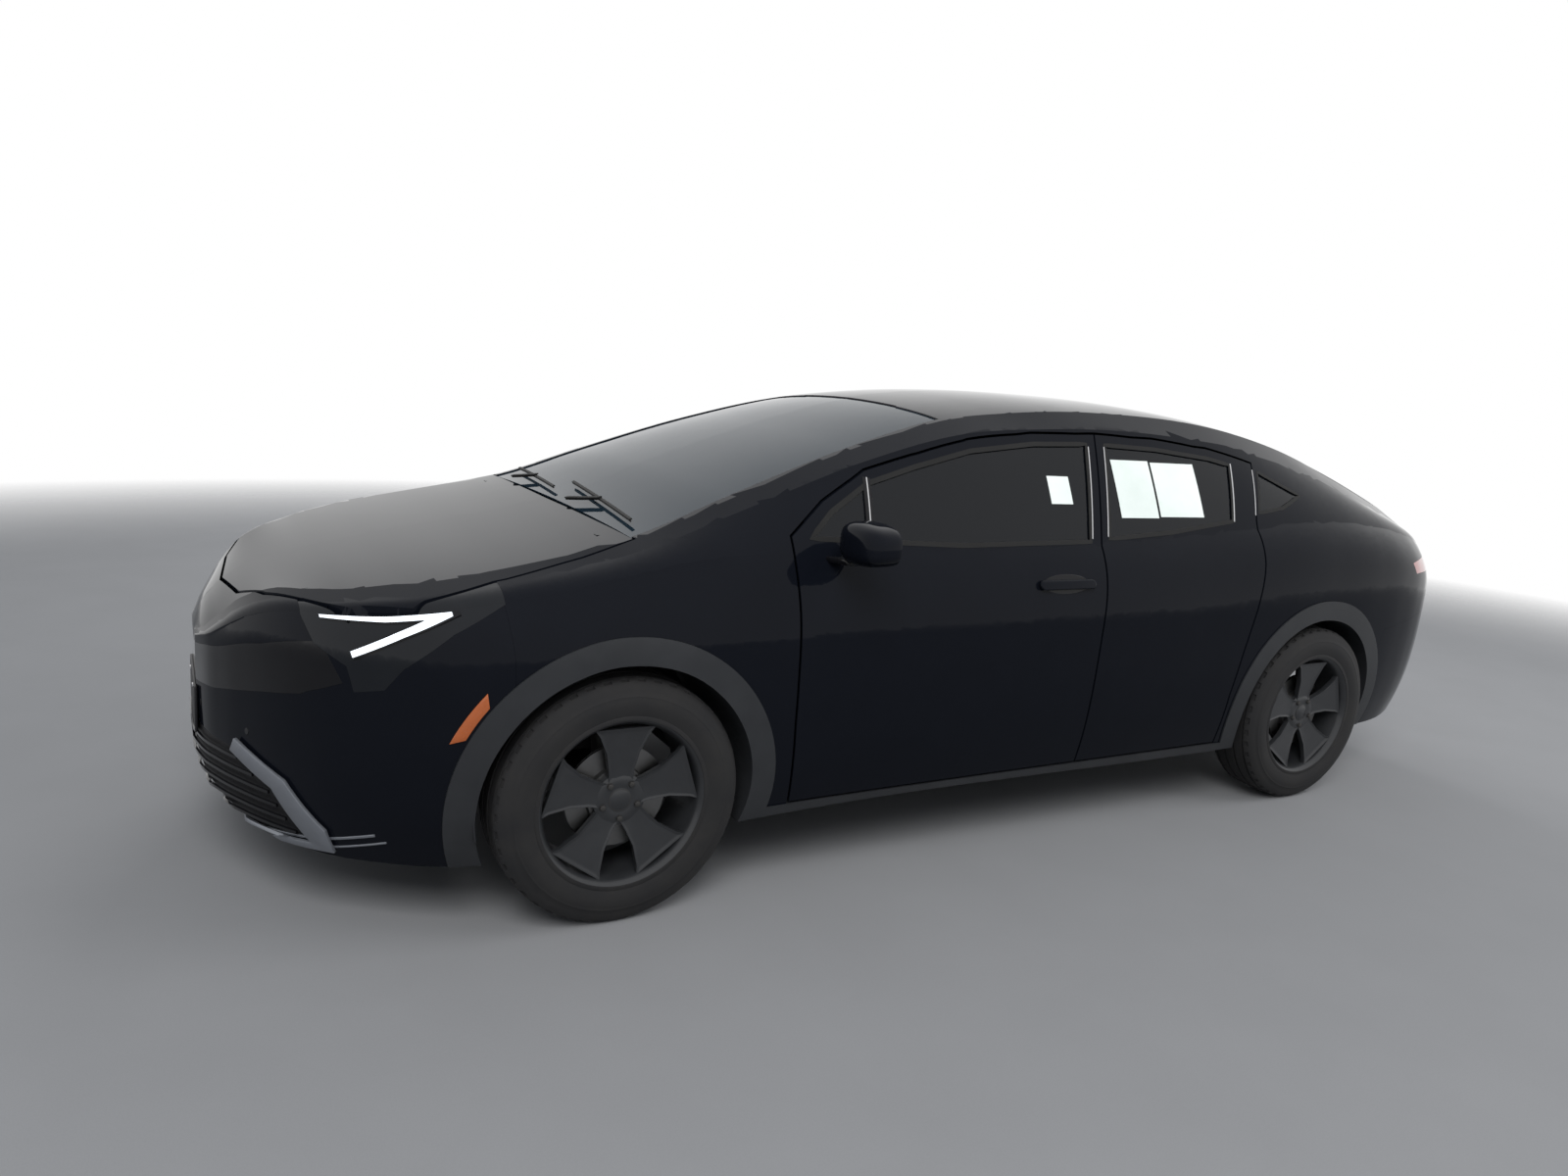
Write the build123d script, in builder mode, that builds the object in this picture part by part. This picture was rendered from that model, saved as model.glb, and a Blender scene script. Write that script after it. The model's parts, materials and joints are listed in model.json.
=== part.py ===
from build123d import *
import math
import os

# Driving sizes of the car, in millimetres and degrees.
LENGTH = 4600
WIDTH = 1780
HEIGHT = 1430
WHEELBASE = 2750
FRONT_OVERHANG = 940
FRONT_TRACK = 1570
REAR_TRACK = 1580
TYRE_DIAMETER = 666
TYRE_WIDTH = 195
RIM_DIAMETER = 456
RIM_SPOKES = 5
ARCH_GAP = 38
TRIM_WIDTH = 72
SILL_HEIGHT = 225
SHUT_GAP = 7.5
SIDE_THICKNESS = 55
FRAME_THICKNESS = 34
TOP_THICKNESS = 24
LAMP_RELIEF = 4
SHOULDER_DROP = 30
SHOULDER_WIDTH = 26
GLASS_DEPTH = 4
GLASS_THICKNESS = 5
CLADDING_PROUD = 5
JAMB_THICKNESS = 40
HEM_THICKNESS = 5
FLOOR_THICKNESS = 14
SEAT = 0.4
HINGE_SETBACK = 35
HINGE_DEPTH = 13
HINGE_PIN = 3
HINGE_PLAY = 0.3
HINGE_HEIGHT = 24
HINGE_HEIGHTS = (545, 745)
LID_HINGE_Y = 560
TAIL_HINGE_Y = 190
PILLAR_OVERLAP = 58
WELL_WALL = 490
HUB_RADIUS = 75
STUB_RADIUS = 30
STRUT_RADIUS = 24
STEERING_WHEEL_DIAMETER = 360
JACK_STATIONS = (760, -780)

# The body's curves are drawn for a car of 4600 by 1780 by 1430, and scaled to the sizes above.
LONG = LENGTH / 4600
WIDE = WIDTH / 1780
TALL = HEIGHT / 1430

FRONT_AXLE = LENGTH / 2 - FRONT_OVERHANG
REAR_AXLE = FRONT_AXLE - WHEELBASE
WHEEL_HEIGHT = TYRE_DIAMETER / 2
ARCH_RADIUS = TYRE_DIAMETER / 2 + ARCH_GAP

os.makedirs("parts", exist_ok=True)


def smooth(*knots):
    """A smooth curve through the given (position, value) knots."""
    knots = sorted(knots)
    at = [knot[0] for knot in knots]
    value = [knot[1] for knot in knots]
    slope = [(value[i + 1] - value[i]) / (at[i + 1] - at[i]) for i in range(len(at) - 1)]
    lean = [slope[0]]
    for i in range(1, len(slope)):
        before = at[i] - at[i - 1]
        after = at[i + 1] - at[i]
        lean.append((slope[i - 1] * after + slope[i] * before) / (before + after))
    lean.append(slope[-1])

    def curve(position):
        if position <= at[0]:
            return value[0] + lean[0] * (position - at[0])
        if position >= at[-1]:
            return value[-1] + lean[-1] * (position - at[-1])
        i = max(k for k in range(len(at) - 1) if at[k] <= position)
        span = at[i + 1] - at[i]
        t = (position - at[i]) / span
        start = (2 * t**3 - 3 * t**2 + 1) * value[i] + (t**3 - 2 * t**2 + t) * span * lean[i]
        end = (-2 * t**3 + 3 * t**2) * value[i + 1] + (t**3 - t**2) * span * lean[i + 1]
        return start + end

    return curve


# Centre line of the car, from the nose to the tail.
crown_z = smooth((2300, 650), (2285, 690), (2250, 742), (2200, 786), (2124, 822), (2000, 856),
                 (1850, 888), (1600, 935), (1400, 978), (1290, 1006), (1000, 1124), (600, 1268),
                 (220, 1376), (0, 1408), (-250, 1426), (-500, 1430), (-800, 1424), (-1100, 1396),
                 (-1400, 1342), (-1700, 1264), (-2000, 1166), (-2200, 1094), (-2300, 1058))
# Half width of the widest line, and how the lines above and below it run.
waist_y = smooth((2300, 150), (2285, 225), (2250, 325), (2200, 430), (2124, 560), (2060, 645),
                 (1960, 742), (1880, 800), (1790, 845), (1690, 869), (1500, 884), (1360, 888),
                 (1000, 884), (600, 878), (0, 876), (-700, 880), (-1390, 888), (-1700, 878),
                 (-1900, 858), (-2050, 828), (-2150, 794), (-2220, 755), (-2265, 705), (-2300, 630))
waist_z = smooth((2300, 560), (2000, 560), (1360, 640), (800, 640), (0, 650), (-700, 670),
                 (-1390, 720), (-2000, 720), (-2300, 660))
shoulder_in = smooth((2300, 12), (2000, 8), (1360, 12), (800, 14), (0, 14), (-1390, 16), (-2300, 14))
shoulder_z = smooth((2300, 608), (2200, 690), (2000, 742), (1690, 770), (1360, 800), (800, 830),
                    (0, 850), (-700, 880), (-1390, 940), (-2000, 900), (-2300, 820))
belt_in = smooth((2300, 22), (2200, 30), (2000, 30), (1690, 42), (1360, 58), (1000, 66), (600, 64),
                 (0, 64), (-700, 74), (-1390, 92), (-1900, 100), (-2300, 70))
belt_z = smooth((2300, 628), (2200, 745), (2000, 812), (1800, 842), (1600, 872), (1360, 918),
                (1150, 955), (800, 968), (300, 966), (-200, 974), (-700, 1002), (-1100, 1036),
                (-1400, 1052), (-1700, 1040), (-2000, 1000), (-2300, 930))
rail_in = smooth((2300, 40), (2200, 60), (2000, 62), (1690, 84), (1400, 122), (1290, 134),
                 (1000, 160), (600, 200), (200, 236), (-300, 244), (-1000, 232), (-1400, 226),
                 (-1700, 214), (-2000, 186), (-2300, 120))
rail_z = smooth((2300, 638), (2200, 766), (2000, 834), (1850, 862), (1600, 905), (1400, 944),
                (1290, 972), (1000, 1072), (600, 1208), (200, 1304), (-100, 1330), (-500, 1340),
                (-1000, 1302), (-1400, 1222), (-1700, 1146), (-2000, 1060), (-2300, 972))
edge_in = smooth((2300, 62), (2200, 110), (2000, 125), (1690, 160), (1400, 186), (1290, 196),
                 (1000, 222), (600, 268), (200, 312), (-300, 324), (-1000, 322), (-1400, 330),
                 (-1700, 330), (-2000, 290), (-2300, 200))
edge_z = smooth((2300, 644), (2200, 778), (2000, 850), (1850, 880), (1600, 926), (1400, 966),
                (1290, 992), (1000, 1098), (600, 1238), (200, 1342), (0, 1368), (-250, 1388),
                (-500, 1392), (-1000, 1366), (-1400, 1298), (-1700, 1218), (-2000, 1122),
                (-2300, 1016))
foot_in = smooth((2300, 40), (2124, 60), (1900, 70), (1500, 60), (800, 48), (-800, 48), (-1700, 60),
                 (-2300, 60))
foot_z = smooth((2300, 330), (2285, 285), (2250, 245), (2200, 215), (2100, 190), (1900, 185),
                (1500, 195), (900, 225), (-900, 225), (-1700, 235), (-2100, 250), (-2300, 300))
STATIONS = (2300, 2280, 2240, 2170, 2080, 1970, 1840, 1680, 1500, 1350, 1290, 1120, 900, 650, 400,
            220, 0, -250, -500, -800, -1100, -1400, -1700, -1950, -2120, -2230, -2300)


def through(points, places):
    """A spline in the open sketch line that meets its points at the given shares of its run."""
    add(Edge.make_spline([Vector(*point) for point in points], parameters=list(places)))


def body_form(side, glass, top, nose=2300, tail=-2300):
    """The left half of the smooth body as one solid, drawn in from its skin by three depths."""
    with BuildPart() as form:
        for x in [station for station in STATIONS if tail <= station <= nose]:
            half = waist_y(x)
            waist = ((half - side) * WIDE, waist_z(x) * TALL)
            foot = ((half - foot_in(x) - side) * WIDE, foot_z(x) * TALL)
            low = ((half - 0.4 * foot_in(x) - side) * WIDE, (0.7 * foot_z(x) + 0.3 * waist_z(x)) * TALL)
            shoulder = ((half - shoulder_in(x) - side) * WIDE, shoulder_z(x) * TALL)
            belt = ((half - belt_in(x) - 0.6 * side - 0.4 * glass) * WIDE, (belt_z(x) - 0.3 * glass) * TALL)
            rail = ((half - rail_in(x) - glass) * WIDE, (rail_z(x) - 0.5 * glass) * TALL)
            pane = ((belt[0] + rail[0]) / 2 + 7 * WIDE, (belt[1] + rail[1]) / 2 + 3)
            edge = ((half - edge_in(x) - 0.7 * glass) * WIDE, (edge_z(x) - top) * TALL)
            rise = crown_z(x) - edge_z(x)
            inner = (0.56 * edge[0], (edge_z(x) + 0.72 * rise - top) * TALL)
            crown = (0, (crown_z(x) - top) * TALL)
            with BuildSketch(Plane.YZ.offset(x * LONG)):
                with BuildLine():
                    through((foot, low, waist, shoulder, belt), (0, 0.15, 0.5, 0.8, 1))
                    through((belt, pane, rail), (0, 0.5, 1))
                    Line(rail, edge)
                    through((edge, inner, crown), (0, 0.5, 1))
                    Line(crown, (0, foot[1]))
                    Line((0, foot[1]), foot)
                make_face()
        loft(ruled=True)
    return form.part


def side_prism(points, near, far, grow=0.0):
    """A block with the given outline seen from the side, from one half width to another."""
    with BuildPart() as block:
        with BuildSketch(Plane.XZ.offset(-near * WIDE)):
            with BuildLine():
                Polyline(*[(x * LONG, z * TALL) for x, z in points], close=True)
            make_face()
            if grow:
                offset(amount=grow, kind=Kind.INTERSECTION)
        extrude(amount=-(far - near) * WIDE)
    return block.part


def plan_prism(points, low, high, grow=0.0):
    """A block with the given outline seen from above, between two heights."""
    with BuildPart() as block:
        with BuildSketch(Plane.XY.offset(low * TALL)):
            with BuildLine():
                Polyline(*[(x * LONG, y * WIDE) for x, y in points], close=True)
            make_face()
            if grow:
                offset(amount=grow, kind=Kind.INTERSECTION)
        extrude(amount=(high - low) * TALL)
    return block.part


def front_prism(points, back, front, grow=0.0):
    """A block with the given outline seen from ahead, between two stations."""
    with BuildPart() as block:
        with BuildSketch(Plane.YZ.offset(back * LONG)):
            with BuildLine():
                Polyline(*[(y * WIDE, z * TALL) for y, z in points], close=True)
            make_face()
            if grow:
                offset(amount=grow, kind=Kind.INTERSECTION)
        extrude(amount=(front - back) * LONG)
    return block.part


def box(x0, x1, y0, y1, z0, z1):
    """A plain block between six limits in millimetres."""
    with BuildPart(Plane(((x0 + x1) / 2, (y0 + y1) / 2, (z0 + z1) / 2))) as block:
        Box(x1 - x0, y1 - y0, z1 - z0)
    return block.part


def other_side(part):
    """The same piece on the right of the car."""
    return mirror(part, about=Plane.XZ)


# Outlines of the panels, seen from the side on the left of the car.
DOOR_LEAD = [(850, 262), (866, 500), (874, 760), (880, 1010)]
DOOR_TOP = [(760, 1098), (600, 1184), (420, 1232), (200, 1284), (-60, 1314), (-330, 1322)]
FRONT_DOOR = DOOR_LEAD + DOOR_TOP + [(-264, 985), (-250, 700), (-240, 262)]
REAR_DOOR = [(-247, 262), (-257, 700), (-271, 985), (-337, 1322), (-600, 1316), (-860, 1294),
             (-1088, 1252), (-1026, 1060), (-1012, 920), (-985, 760), (-950, 600), (-925, 450),
             (-915, 262)]
FRONT_WINDOW = [(822, 1006), (300, 984), (-222, 992), (-286, 1292), (-60, 1284), (200, 1254),
                (420, 1202), (600, 1152), (740, 1074)]
REAR_WINDOW = [(-306, 1000), (-600, 1020), (-908, 1058), (-962, 1246), (-860, 1264), (-600, 1286),
               (-368, 1292)]
QUARTER_WINDOW = [(-1052, 1086), (-1190, 1104), (-1318, 1148), (-1110, 1226)]
BODY_SIDE = [(888, 225), (888, 1008), (1294, 1002), (1294, 1600), (-2400, 1600), (-2400, 700),
             (-2140, 690), (-1790, 640), (-1700, 225)]
FENDER = [(888, 225), (888, 1008), (1294, 1002), (1700, 1040), (1672, 858), (1652, 730),
          (1640, 225)]
NOSE = [(1640, 120), (1652, 730), (1672, 858), (1700, 1040), (2400, 1040), (2400, 120)]
TAIL = [(-1700, 225), (-1790, 640), (-2140, 690), (-2400, 700), (-2400, 150), (-1700, 150)]
HEADLAMP = [(1670, 858), (1684, 1000), (2108, 1000), (2090, 790), (2066, 732), (2004, 692),
            (1990, 632), (1930, 646), (1892, 700), (1788, 790)]
TAIL_LAMP = [(-1960, 900), (-2400, 930), (-2400, 860), (-1990, 856)]
# Outlines of the lids and the glass, seen from above, on the left of the car.
WINDSCREEN = [(1296, -20), (1296, 668), (1000, 634), (600, 586), (236, 540), (236, -20)]
BONNET = [(1316, -20), (1310, 400), (1302, 690), (1450, 722), (1650, 752), (1868, 766), (1990, 676),
          (2084, 540), (2150, 410), (2200, 250), (2226, 0), (2226, -20)]
ROOF = [(229, -20), (229, 560), (-300, 552), (-1190, 548), (-1190, -20)]
TAILGATE = [(-1197, -20), (-1197, 540), (-1700, 548), (-2040, 560), (-2120, 640), (-2500, 640),
            (-2500, -20)]
REAR_GLASS = [(-1262, -20), (-1262, 480), (-1700, 486), (-2080, 500), (-2100, 0), (-2100, -20)]
# Outlines seen from ahead, on the left of the car.
NOSE_BAND = [(-20, 596), (0, 596), (300, 650), (640, 742), (690, 650), (600, 602), (300, 540), (0, 505), (-20, 505)]
INTAKE = [(-20, 420), (380, 400), (520, 340), (600, 210), (-20, 210)]


def both_halves(part):
    """A left half and its mirror image as one piece."""
    with BuildPart() as whole:
        add(part)
        add(mirror(part, about=Plane.XZ))
    return whole.part


def largest(part):
    """The main solid of a cut piece, without the offcuts."""
    return part.solids().sort_by(SortBy.VOLUME)[-1]


def piece(name, part):
    """Write one finished piece under its name."""
    with BuildPart() as finished:
        add(part)
    finished.part.label = name
    export_step(finished.part, f"parts/{name}.step")


# The body's skin, and the surfaces inside it that the panels and the glass follow.
outer = body_form(0, 0, 0)
inner = body_form(SIDE_THICKNESS, FRAME_THICKNESS, TOP_THICKNESS, 2245, -2260)
thin_back = body_form(HEM_THICKNESS, HEM_THICKNESS, HEM_THICKNESS)
glass_face = body_form(GLASS_DEPTH, GLASS_DEPTH, GLASS_DEPTH)
glass_back = body_form(GLASS_DEPTH + GLASS_THICKNESS, GLASS_DEPTH + GLASS_THICKNESS,
                       GLASS_DEPTH + GLASS_THICKNESS)
jamb_face = body_form(SIDE_THICKNESS + SHUT_GAP, FRAME_THICKNESS + SHUT_GAP, TOP_THICKNESS, 2100, -2260)
jamb_back = body_form(SIDE_THICKNESS + JAMB_THICKNESS, FRAME_THICKNESS + JAMB_THICKNESS,
                      TOP_THICKNESS + 6, 2100, -2260)
cladding_face = body_form(-CLADDING_PROUD, 0, 0)
lid_back = body_form(TOP_THICKNESS, TOP_THICKNESS, TOP_THICKNESS, 2245, -2260)
cabin_form = body_form(SIDE_THICKNESS + JAMB_THICKNESS + SEAT, FRAME_THICKNESS + JAMB_THICKNESS + SEAT,
                       TOP_THICKNESS + 6 + SEAT, 2100, -2260)




def round_block(centre, direction, radius, length):
    """A cylinder that starts at a point and runs along a direction."""
    with BuildPart() as rod:
        with BuildSketch(Plane(origin=centre, z_dir=direction)):
            Circle(radius)
        extrude(amount=length)
    return rod.part


def wheel_cut(x, radius, near, far):
    """A round opening about a wheel's centre, through the left side."""
    return round_block((x, near, WHEEL_HEIGHT), (0, 1, 0), radius, far - near)


def hinge_leaf(x, y, z):
    """The door's half of a hinge: a barrel on a short web, before its bore is made."""
    with BuildPart() as leaf:
        add(round_block((x, y, z), (0, 0, 1), 7, HINGE_HEIGHT))
        add(box(x - 14, x, y - 7, y + 4, z, z + HINGE_HEIGHT))
    return leaf.part


def hinge_bracket(x, y, z, reach):
    """The pillar's half of a hinge: a flat arm below the barrel and the pin that stands on it."""
    with BuildPart() as bracket:
        add(box(x - 4, x + 4, y - reach, y + 1.5, z - 15, z - HINGE_PLAY))
        add(round_block((x, y, z - 8), (0, 0, 1), HINGE_PIN, HINGE_HEIGHT + 8))
    return bracket.part


axles = (FRONT_AXLE, REAR_AXLE)
kingpin_low = (FRONT_AXLE, FRONT_TRACK / 2 - 50, WHEEL_HEIGHT - 130)
kingpin_top = (FRONT_AXLE - 10, FRONT_TRACK / 2 - 220, 800 * TALL)
kingpin_lean = Vector(*kingpin_top) - Vector(*kingpin_low)
# Roof rails, pillars, sill and rear quarter of the left side, with the door hinges' pins.
trim_radius = ARCH_RADIUS + TRIM_WIDTH
far = WIDTH
door_lines = ((FRONT_DOOR, FRONT_WINDOW, 873), (REAR_DOOR, REAR_WINDOW, -257))
hinge_places = []
for outline, window, lead in door_lines:
    hinge_x = lead * LONG - HINGE_SETBACK
    hinge_y = waist_y(hinge_x / LONG) * WIDE - HINGE_DEPTH
    hinge_places.append((hinge_x, hinge_y))
body_side = (outer & side_prism(BODY_SIDE, 300, 1200)) - jamb_back
for outline, window, lead in door_lines:
    body_side -= side_prism(outline, 300, 1200, SHUT_GAP) - jamb_face
    body_side -= side_prism(outline, 300, 1200, -PILLAR_OVERLAP)
for outline, gap in ((WINDSCREEN, SEAT), (ROOF, SEAT), (TAILGATE, SHUT_GAP)):
    body_side -= plan_prism(outline, 690, 1600, gap)
body_side -= side_prism(QUARTER_WINDOW, 300, 1200)
body_side -= side_prism(TAIL_LAMP, 300, 1200, SEAT)
body_side -= wheel_cut(REAR_AXLE, trim_radius + SEAT, 300, far)
body_side -= box(-LENGTH, LENGTH, 0, far, 0, SILL_HEIGHT + 30)
for hinge_x, hinge_y in hinge_places:
    for hinge_z in HINGE_HEIGHTS:
        body_side += hinge_bracket(hinge_x, hinge_y, hinge_z, 56)
piece("body_side_left", body_side)
piece("body_side_right", other_side(body_side))
quarter_glass = (glass_face & side_prism(QUARTER_WINDOW, 300, 1200, -SEAT)) - glass_back
piece("quarter_glass", quarter_glass + other_side(quarter_glass))

# Doors, each with its window cut out and a thin leading edge that swings inside the pillar.
for place, (outline, window, lead) in enumerate(door_lines):
    hinge_x, hinge_y = hinge_places[place]
    door = (outer & side_prism(outline, 300, 1200)) - inner
    door -= side_prism(window, 300, 1200)
    door -= thin_back & box(hinge_x - 10, hinge_x + 90, 300, far, 0, 1120 * TALL)
    for hinge_z in HINGE_HEIGHTS:
        door += hinge_leaf(hinge_x, hinge_y, hinge_z)
        door -= round_block((hinge_x, hinge_y, hinge_z - 20), (0, 0, 1), HINGE_PIN + HINGE_PLAY, 60)
    glass = (glass_face & side_prism(window, 300, 1200, -SEAT)) - glass_back
    end = ("front", "rear")[place]
    piece(f"{end}_door_left", door)
    piece(f"{end}_door_right", other_side(door))
    piece(f"{end}_door_glass_left", glass)
    piece(f"{end}_door_glass_right", other_side(glass))
    print(end, "door", door.is_valid, len(door.solids()))

# Front fenders, nose and lamps.
fender = (outer & side_prism(FENDER, 300, 1200)) - inner
fender -= plan_prism(BONNET, 500, 1600, SHUT_GAP)
fender -= plan_prism(WINDSCREEN, 500, 1600, SEAT)
fender -= wheel_cut(FRONT_AXLE, trim_radius + SEAT, 300, far)
fender -= box(-LENGTH, LENGTH, 0, far, 0, SILL_HEIGHT + 30)
fender -= side_prism(HEADLAMP, 300, 1200, SEAT)
fender -= box(1280 * LONG, 1330 * LONG, 0, 668 * WIDE, 900 * TALL, HEIGHT)
fender = largest(fender)
piece("front_fender_left", fender)
piece("front_fender_right", other_side(fender))
headlamp = (outer & side_prism(HEADLAMP, 300, 1200)) - inner
headlamp -= plan_prism(BONNET, 500, 1600, SHUT_GAP + LAMP_RELIEF)
piece("headlamp_left", headlamp)
piece("headlamp_right", other_side(headlamp))
nose_band = (outer & front_prism(NOSE_BAND, 1990, 2400)) - inner
nose_band -= side_prism(HEADLAMP, 300, 1200, SEAT)
nose_band -= plan_prism(BONNET, 500, 1600, SHUT_GAP)
piece("nose_band", both_halves(nose_band))
bumper = (outer & side_prism(NOSE, -10, 1200, -SEAT)) - inner
bumper -= plan_prism(BONNET, 500, 1600, SHUT_GAP)
bumper -= side_prism(HEADLAMP, 300, 1200, SEAT)
bumper -= front_prism(NOSE_BAND, 1990, 2400, SEAT)
bumper -= front_prism(INTAKE, 1990, 2400)
bumper -= wheel_cut(FRONT_AXLE, trim_radius + SEAT, 300, far)
nose_halves = both_halves(bumper).solids().sort_by(SortBy.VOLUME)
piece("front_bumper", nose_halves[-1])
piece("nose_panel", nose_halves[-2])
grille = (glass_back & front_prism(INTAKE, 1990, 2400, -SEAT)) - inner
piece("lower_grille", both_halves(grille))

# Bonnet, roof, glass and tailgate.
bonnet_axis = (1345 * LONG, crown_z(1345) * TALL - HINGE_DEPTH - 6)
tail_axis = (-1232 * LONG, crown_z(-1232) * TALL - HINGE_DEPTH - 7)


def lid_leaf(axis, y, ahead):
    """The lid's half of a hinge that lies across the car, before its bore is made."""
    x, z = axis
    with BuildPart() as leaf:
        add(round_block((x, y, z), (0, 1, 0), 7, HINGE_HEIGHT))
        add(box(min(x, x + ahead * 16), max(x, x + ahead * 16), y, y + HINGE_HEIGHT, z - 7, z + 9))
    return leaf.part


def lid_bracket(axis, y, drop):
    """The body's half of such a hinge: an upright arm beside the barrel, and the pin in it."""
    x, z = axis
    with BuildPart() as bracket:
        add(box(x - 4, x + 4, y - 15, y - HINGE_PLAY, z - drop, z + 1.5))
        add(round_block((x, y - 8, z), (0, 1, 0), HINGE_PIN, HINGE_HEIGHT + 8))
    return bracket.part


bonnet = (outer & plan_prism(BONNET, 745, 1600)) - lid_back
bonnet -= thin_back & box(0, bonnet_axis[0] + 10, 0, far, 0, HEIGHT)
bonnet += lid_leaf(bonnet_axis, LID_HINGE_Y, 1)
bonnet -= round_block((bonnet_axis[0], LID_HINGE_Y - 20, bonnet_axis[1]), (0, 1, 0), HINGE_PIN + HINGE_PLAY, 60)
piece("bonnet", both_halves(bonnet))
roof = (outer & plan_prism(ROOF, 1100, 1600)) - inner
header_x = -1190 * LONG
roof += box(header_x, header_x + 50, 0, 500 * WIDE, tail_axis[1] - 60, crown_z(-1190) * TALL - 40)
roof += box(tail_axis[0] - 4, header_x + 50, TAIL_HINGE_Y - 15, TAIL_HINGE_Y - HINGE_PLAY,
            tail_axis[1] - 60, tail_axis[1] - 48)
roof += lid_bracket(tail_axis, TAIL_HINGE_Y, 60)
piece("roof", both_halves(roof))
windscreen = (glass_face & plan_prism(WINDSCREEN, 900, 1600)) - glass_back
piece("windscreen", both_halves(windscreen))
tailgate = (outer & plan_prism(TAILGATE, 700, 1600)) - lid_back
tailgate -= thin_back & box(tail_axis[0] - 10, 0, 0, far, 0, HEIGHT)
tailgate -= plan_prism(REAR_GLASS, 900, 1600)
tailgate += lid_leaf(tail_axis, TAIL_HINGE_Y, -1)
tailgate -= round_block((tail_axis[0], TAIL_HINGE_Y - 20, tail_axis[1]), (0, 1, 0), HINGE_PIN + HINGE_PLAY, 60)
piece("tailgate", both_halves(tailgate))
rear_glass = (glass_face & plan_prism(REAR_GLASS, 900, 1600, -SEAT)) - glass_back
piece("tailgate_glass", both_halves(rear_glass))
rear_bumper = (outer & side_prism(TAIL, -10, 1200, -SEAT)) - inner
rear_bumper -= wheel_cut(REAR_AXLE, trim_radius + SEAT, 300, far)
piece("rear_bumper", both_halves(rear_bumper))
tail_lamp = (outer & side_prism(TAIL_LAMP, 300, 1200)) - inner
tail_lamp -= plan_prism(TAILGATE, 800, 1600, SHUT_GAP)
piece("tail_lamp_left", tail_lamp)
piece("tail_lamp_right", other_side(tail_lamp))

# Wheel-arch trim with its liner, and the sill trim between the arches.
trim_ring = wheel_cut(FRONT_AXLE, trim_radius, 600, far) + wheel_cut(REAR_AXLE, trim_radius, 600, far)
trim_ring += box(REAR_AXLE, FRONT_AXLE, 600, far, 0, SILL_HEIGHT + 30 - SEAT)
trim = (cladding_face & trim_ring) - inner
for x, inside in ((FRONT_AXLE, WELL_WALL), (REAR_AXLE, WELL_WALL + 60)):
    liner = wheel_cut(x, ARCH_RADIUS + 5, inside, WIDTH / 2 - SIDE_THICKNESS)
    liner &= box(x - WHEELBASE / 4, x + WHEELBASE / 4, 0, far, SILL_HEIGHT + 45, HEIGHT)
    trim += liner
for x in axles:
    trim -= wheel_cut(x, ARCH_RADIUS, 300, far)
trim -= round_block(kingpin_low, kingpin_lean, STRUT_RADIUS + 12, 900)
piece("arch_trim_left", trim)
piece("arch_trim_right", other_side(trim))
print("trim", trim.is_valid, len(trim.solids()))

# Floor with its tunnel, rails and strut towers, and the bulkhead with the cowl.
floor_low = SILL_HEIGHT + 20
floor_top = floor_low + FLOOR_THICKNESS
bulkhead_x = 965 * LONG
rail_y = 400 * WIDE
floor_half = cabin_form & box(-2100 * LONG, bulkhead_x, 0, far, floor_low, floor_top)
for x, inside in ((FRONT_AXLE, WELL_WALL), (REAR_AXLE, WELL_WALL + 60)):
    floor_half -= wheel_cut(x, ARCH_RADIUS + 5 + SEAT, inside, far)
floor_half += box(-900 * LONG, bulkhead_x, 0, 110, floor_top, floor_top + 90)
floor_half -= box(-950 * LONG, bulkhead_x + 1, -1, 104, floor_low - 1, floor_top + 84)
floor_half += box(bulkhead_x, 2010 * LONG, rail_y, rail_y + 60, 380, 470)
floor_half += box(bulkhead_x - 60, bulkhead_x, rail_y, rail_y + 60, floor_top, 470)
floor_half += box(2010 * LONG, 2050 * LONG, 0, 500 * WIDE, 380, 470)
tower = box(FRONT_AXLE - 90, FRONT_AXLE + 90, rail_y, rail_y + 8, 470, kingpin_top[2] + 16)
tower += box(FRONT_AXLE - 90, FRONT_AXLE + 90, rail_y, kingpin_top[1] + 60, kingpin_top[2] + 8,
             kingpin_top[2] + 16)
floor_half += tower
for x in JACK_STATIONS:
    floor_half += box(x - 40, x + 40, 680, 720, floor_low - 30, floor_low)
piece("floor_pan", both_halves(floor_half))
with BuildPart() as bulkhead:
    add(box(bulkhead_x, bulkhead_x + 12, 0, 640 * WIDE, 470 + SEAT, 900))
    add(box(bulkhead_x, bulkhead_x + 12, 0, rail_y - SEAT, floor_low, 470 + SEAT))
    add(box(bulkhead_x, bonnet_axis[0] + 4, 0, 600 * WIDE, 890, 902))
    add(lid_bracket(bonnet_axis, LID_HINGE_Y, bonnet_axis[1] - 895))
piece("bulkhead", both_halves(bulkhead.part))

# Engine, seats and dashboard.
piece("engine", box(FRONT_AXLE - 260, FRONT_AXLE + 330, -370, 370, 300, 780))
with BuildPart() as dashboard:
    with BuildSketch(Plane.XZ.offset(-640 * WIDE)):
        with BuildLine():
            Polyline((bulkhead_x - SEAT, 620), (bulkhead_x - SEAT, 903), (1180, 903), (1180, 945), (900, 945),
                     (690, 915), (650, 830), (720, 700), (760, 620), close=True)
        make_face()
    extrude(amount=1280 * WIDE)
    fillet(dashboard.edges().filter_by(Axis.Y).sort_by(Axis.X)[0:2], 25)


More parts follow.
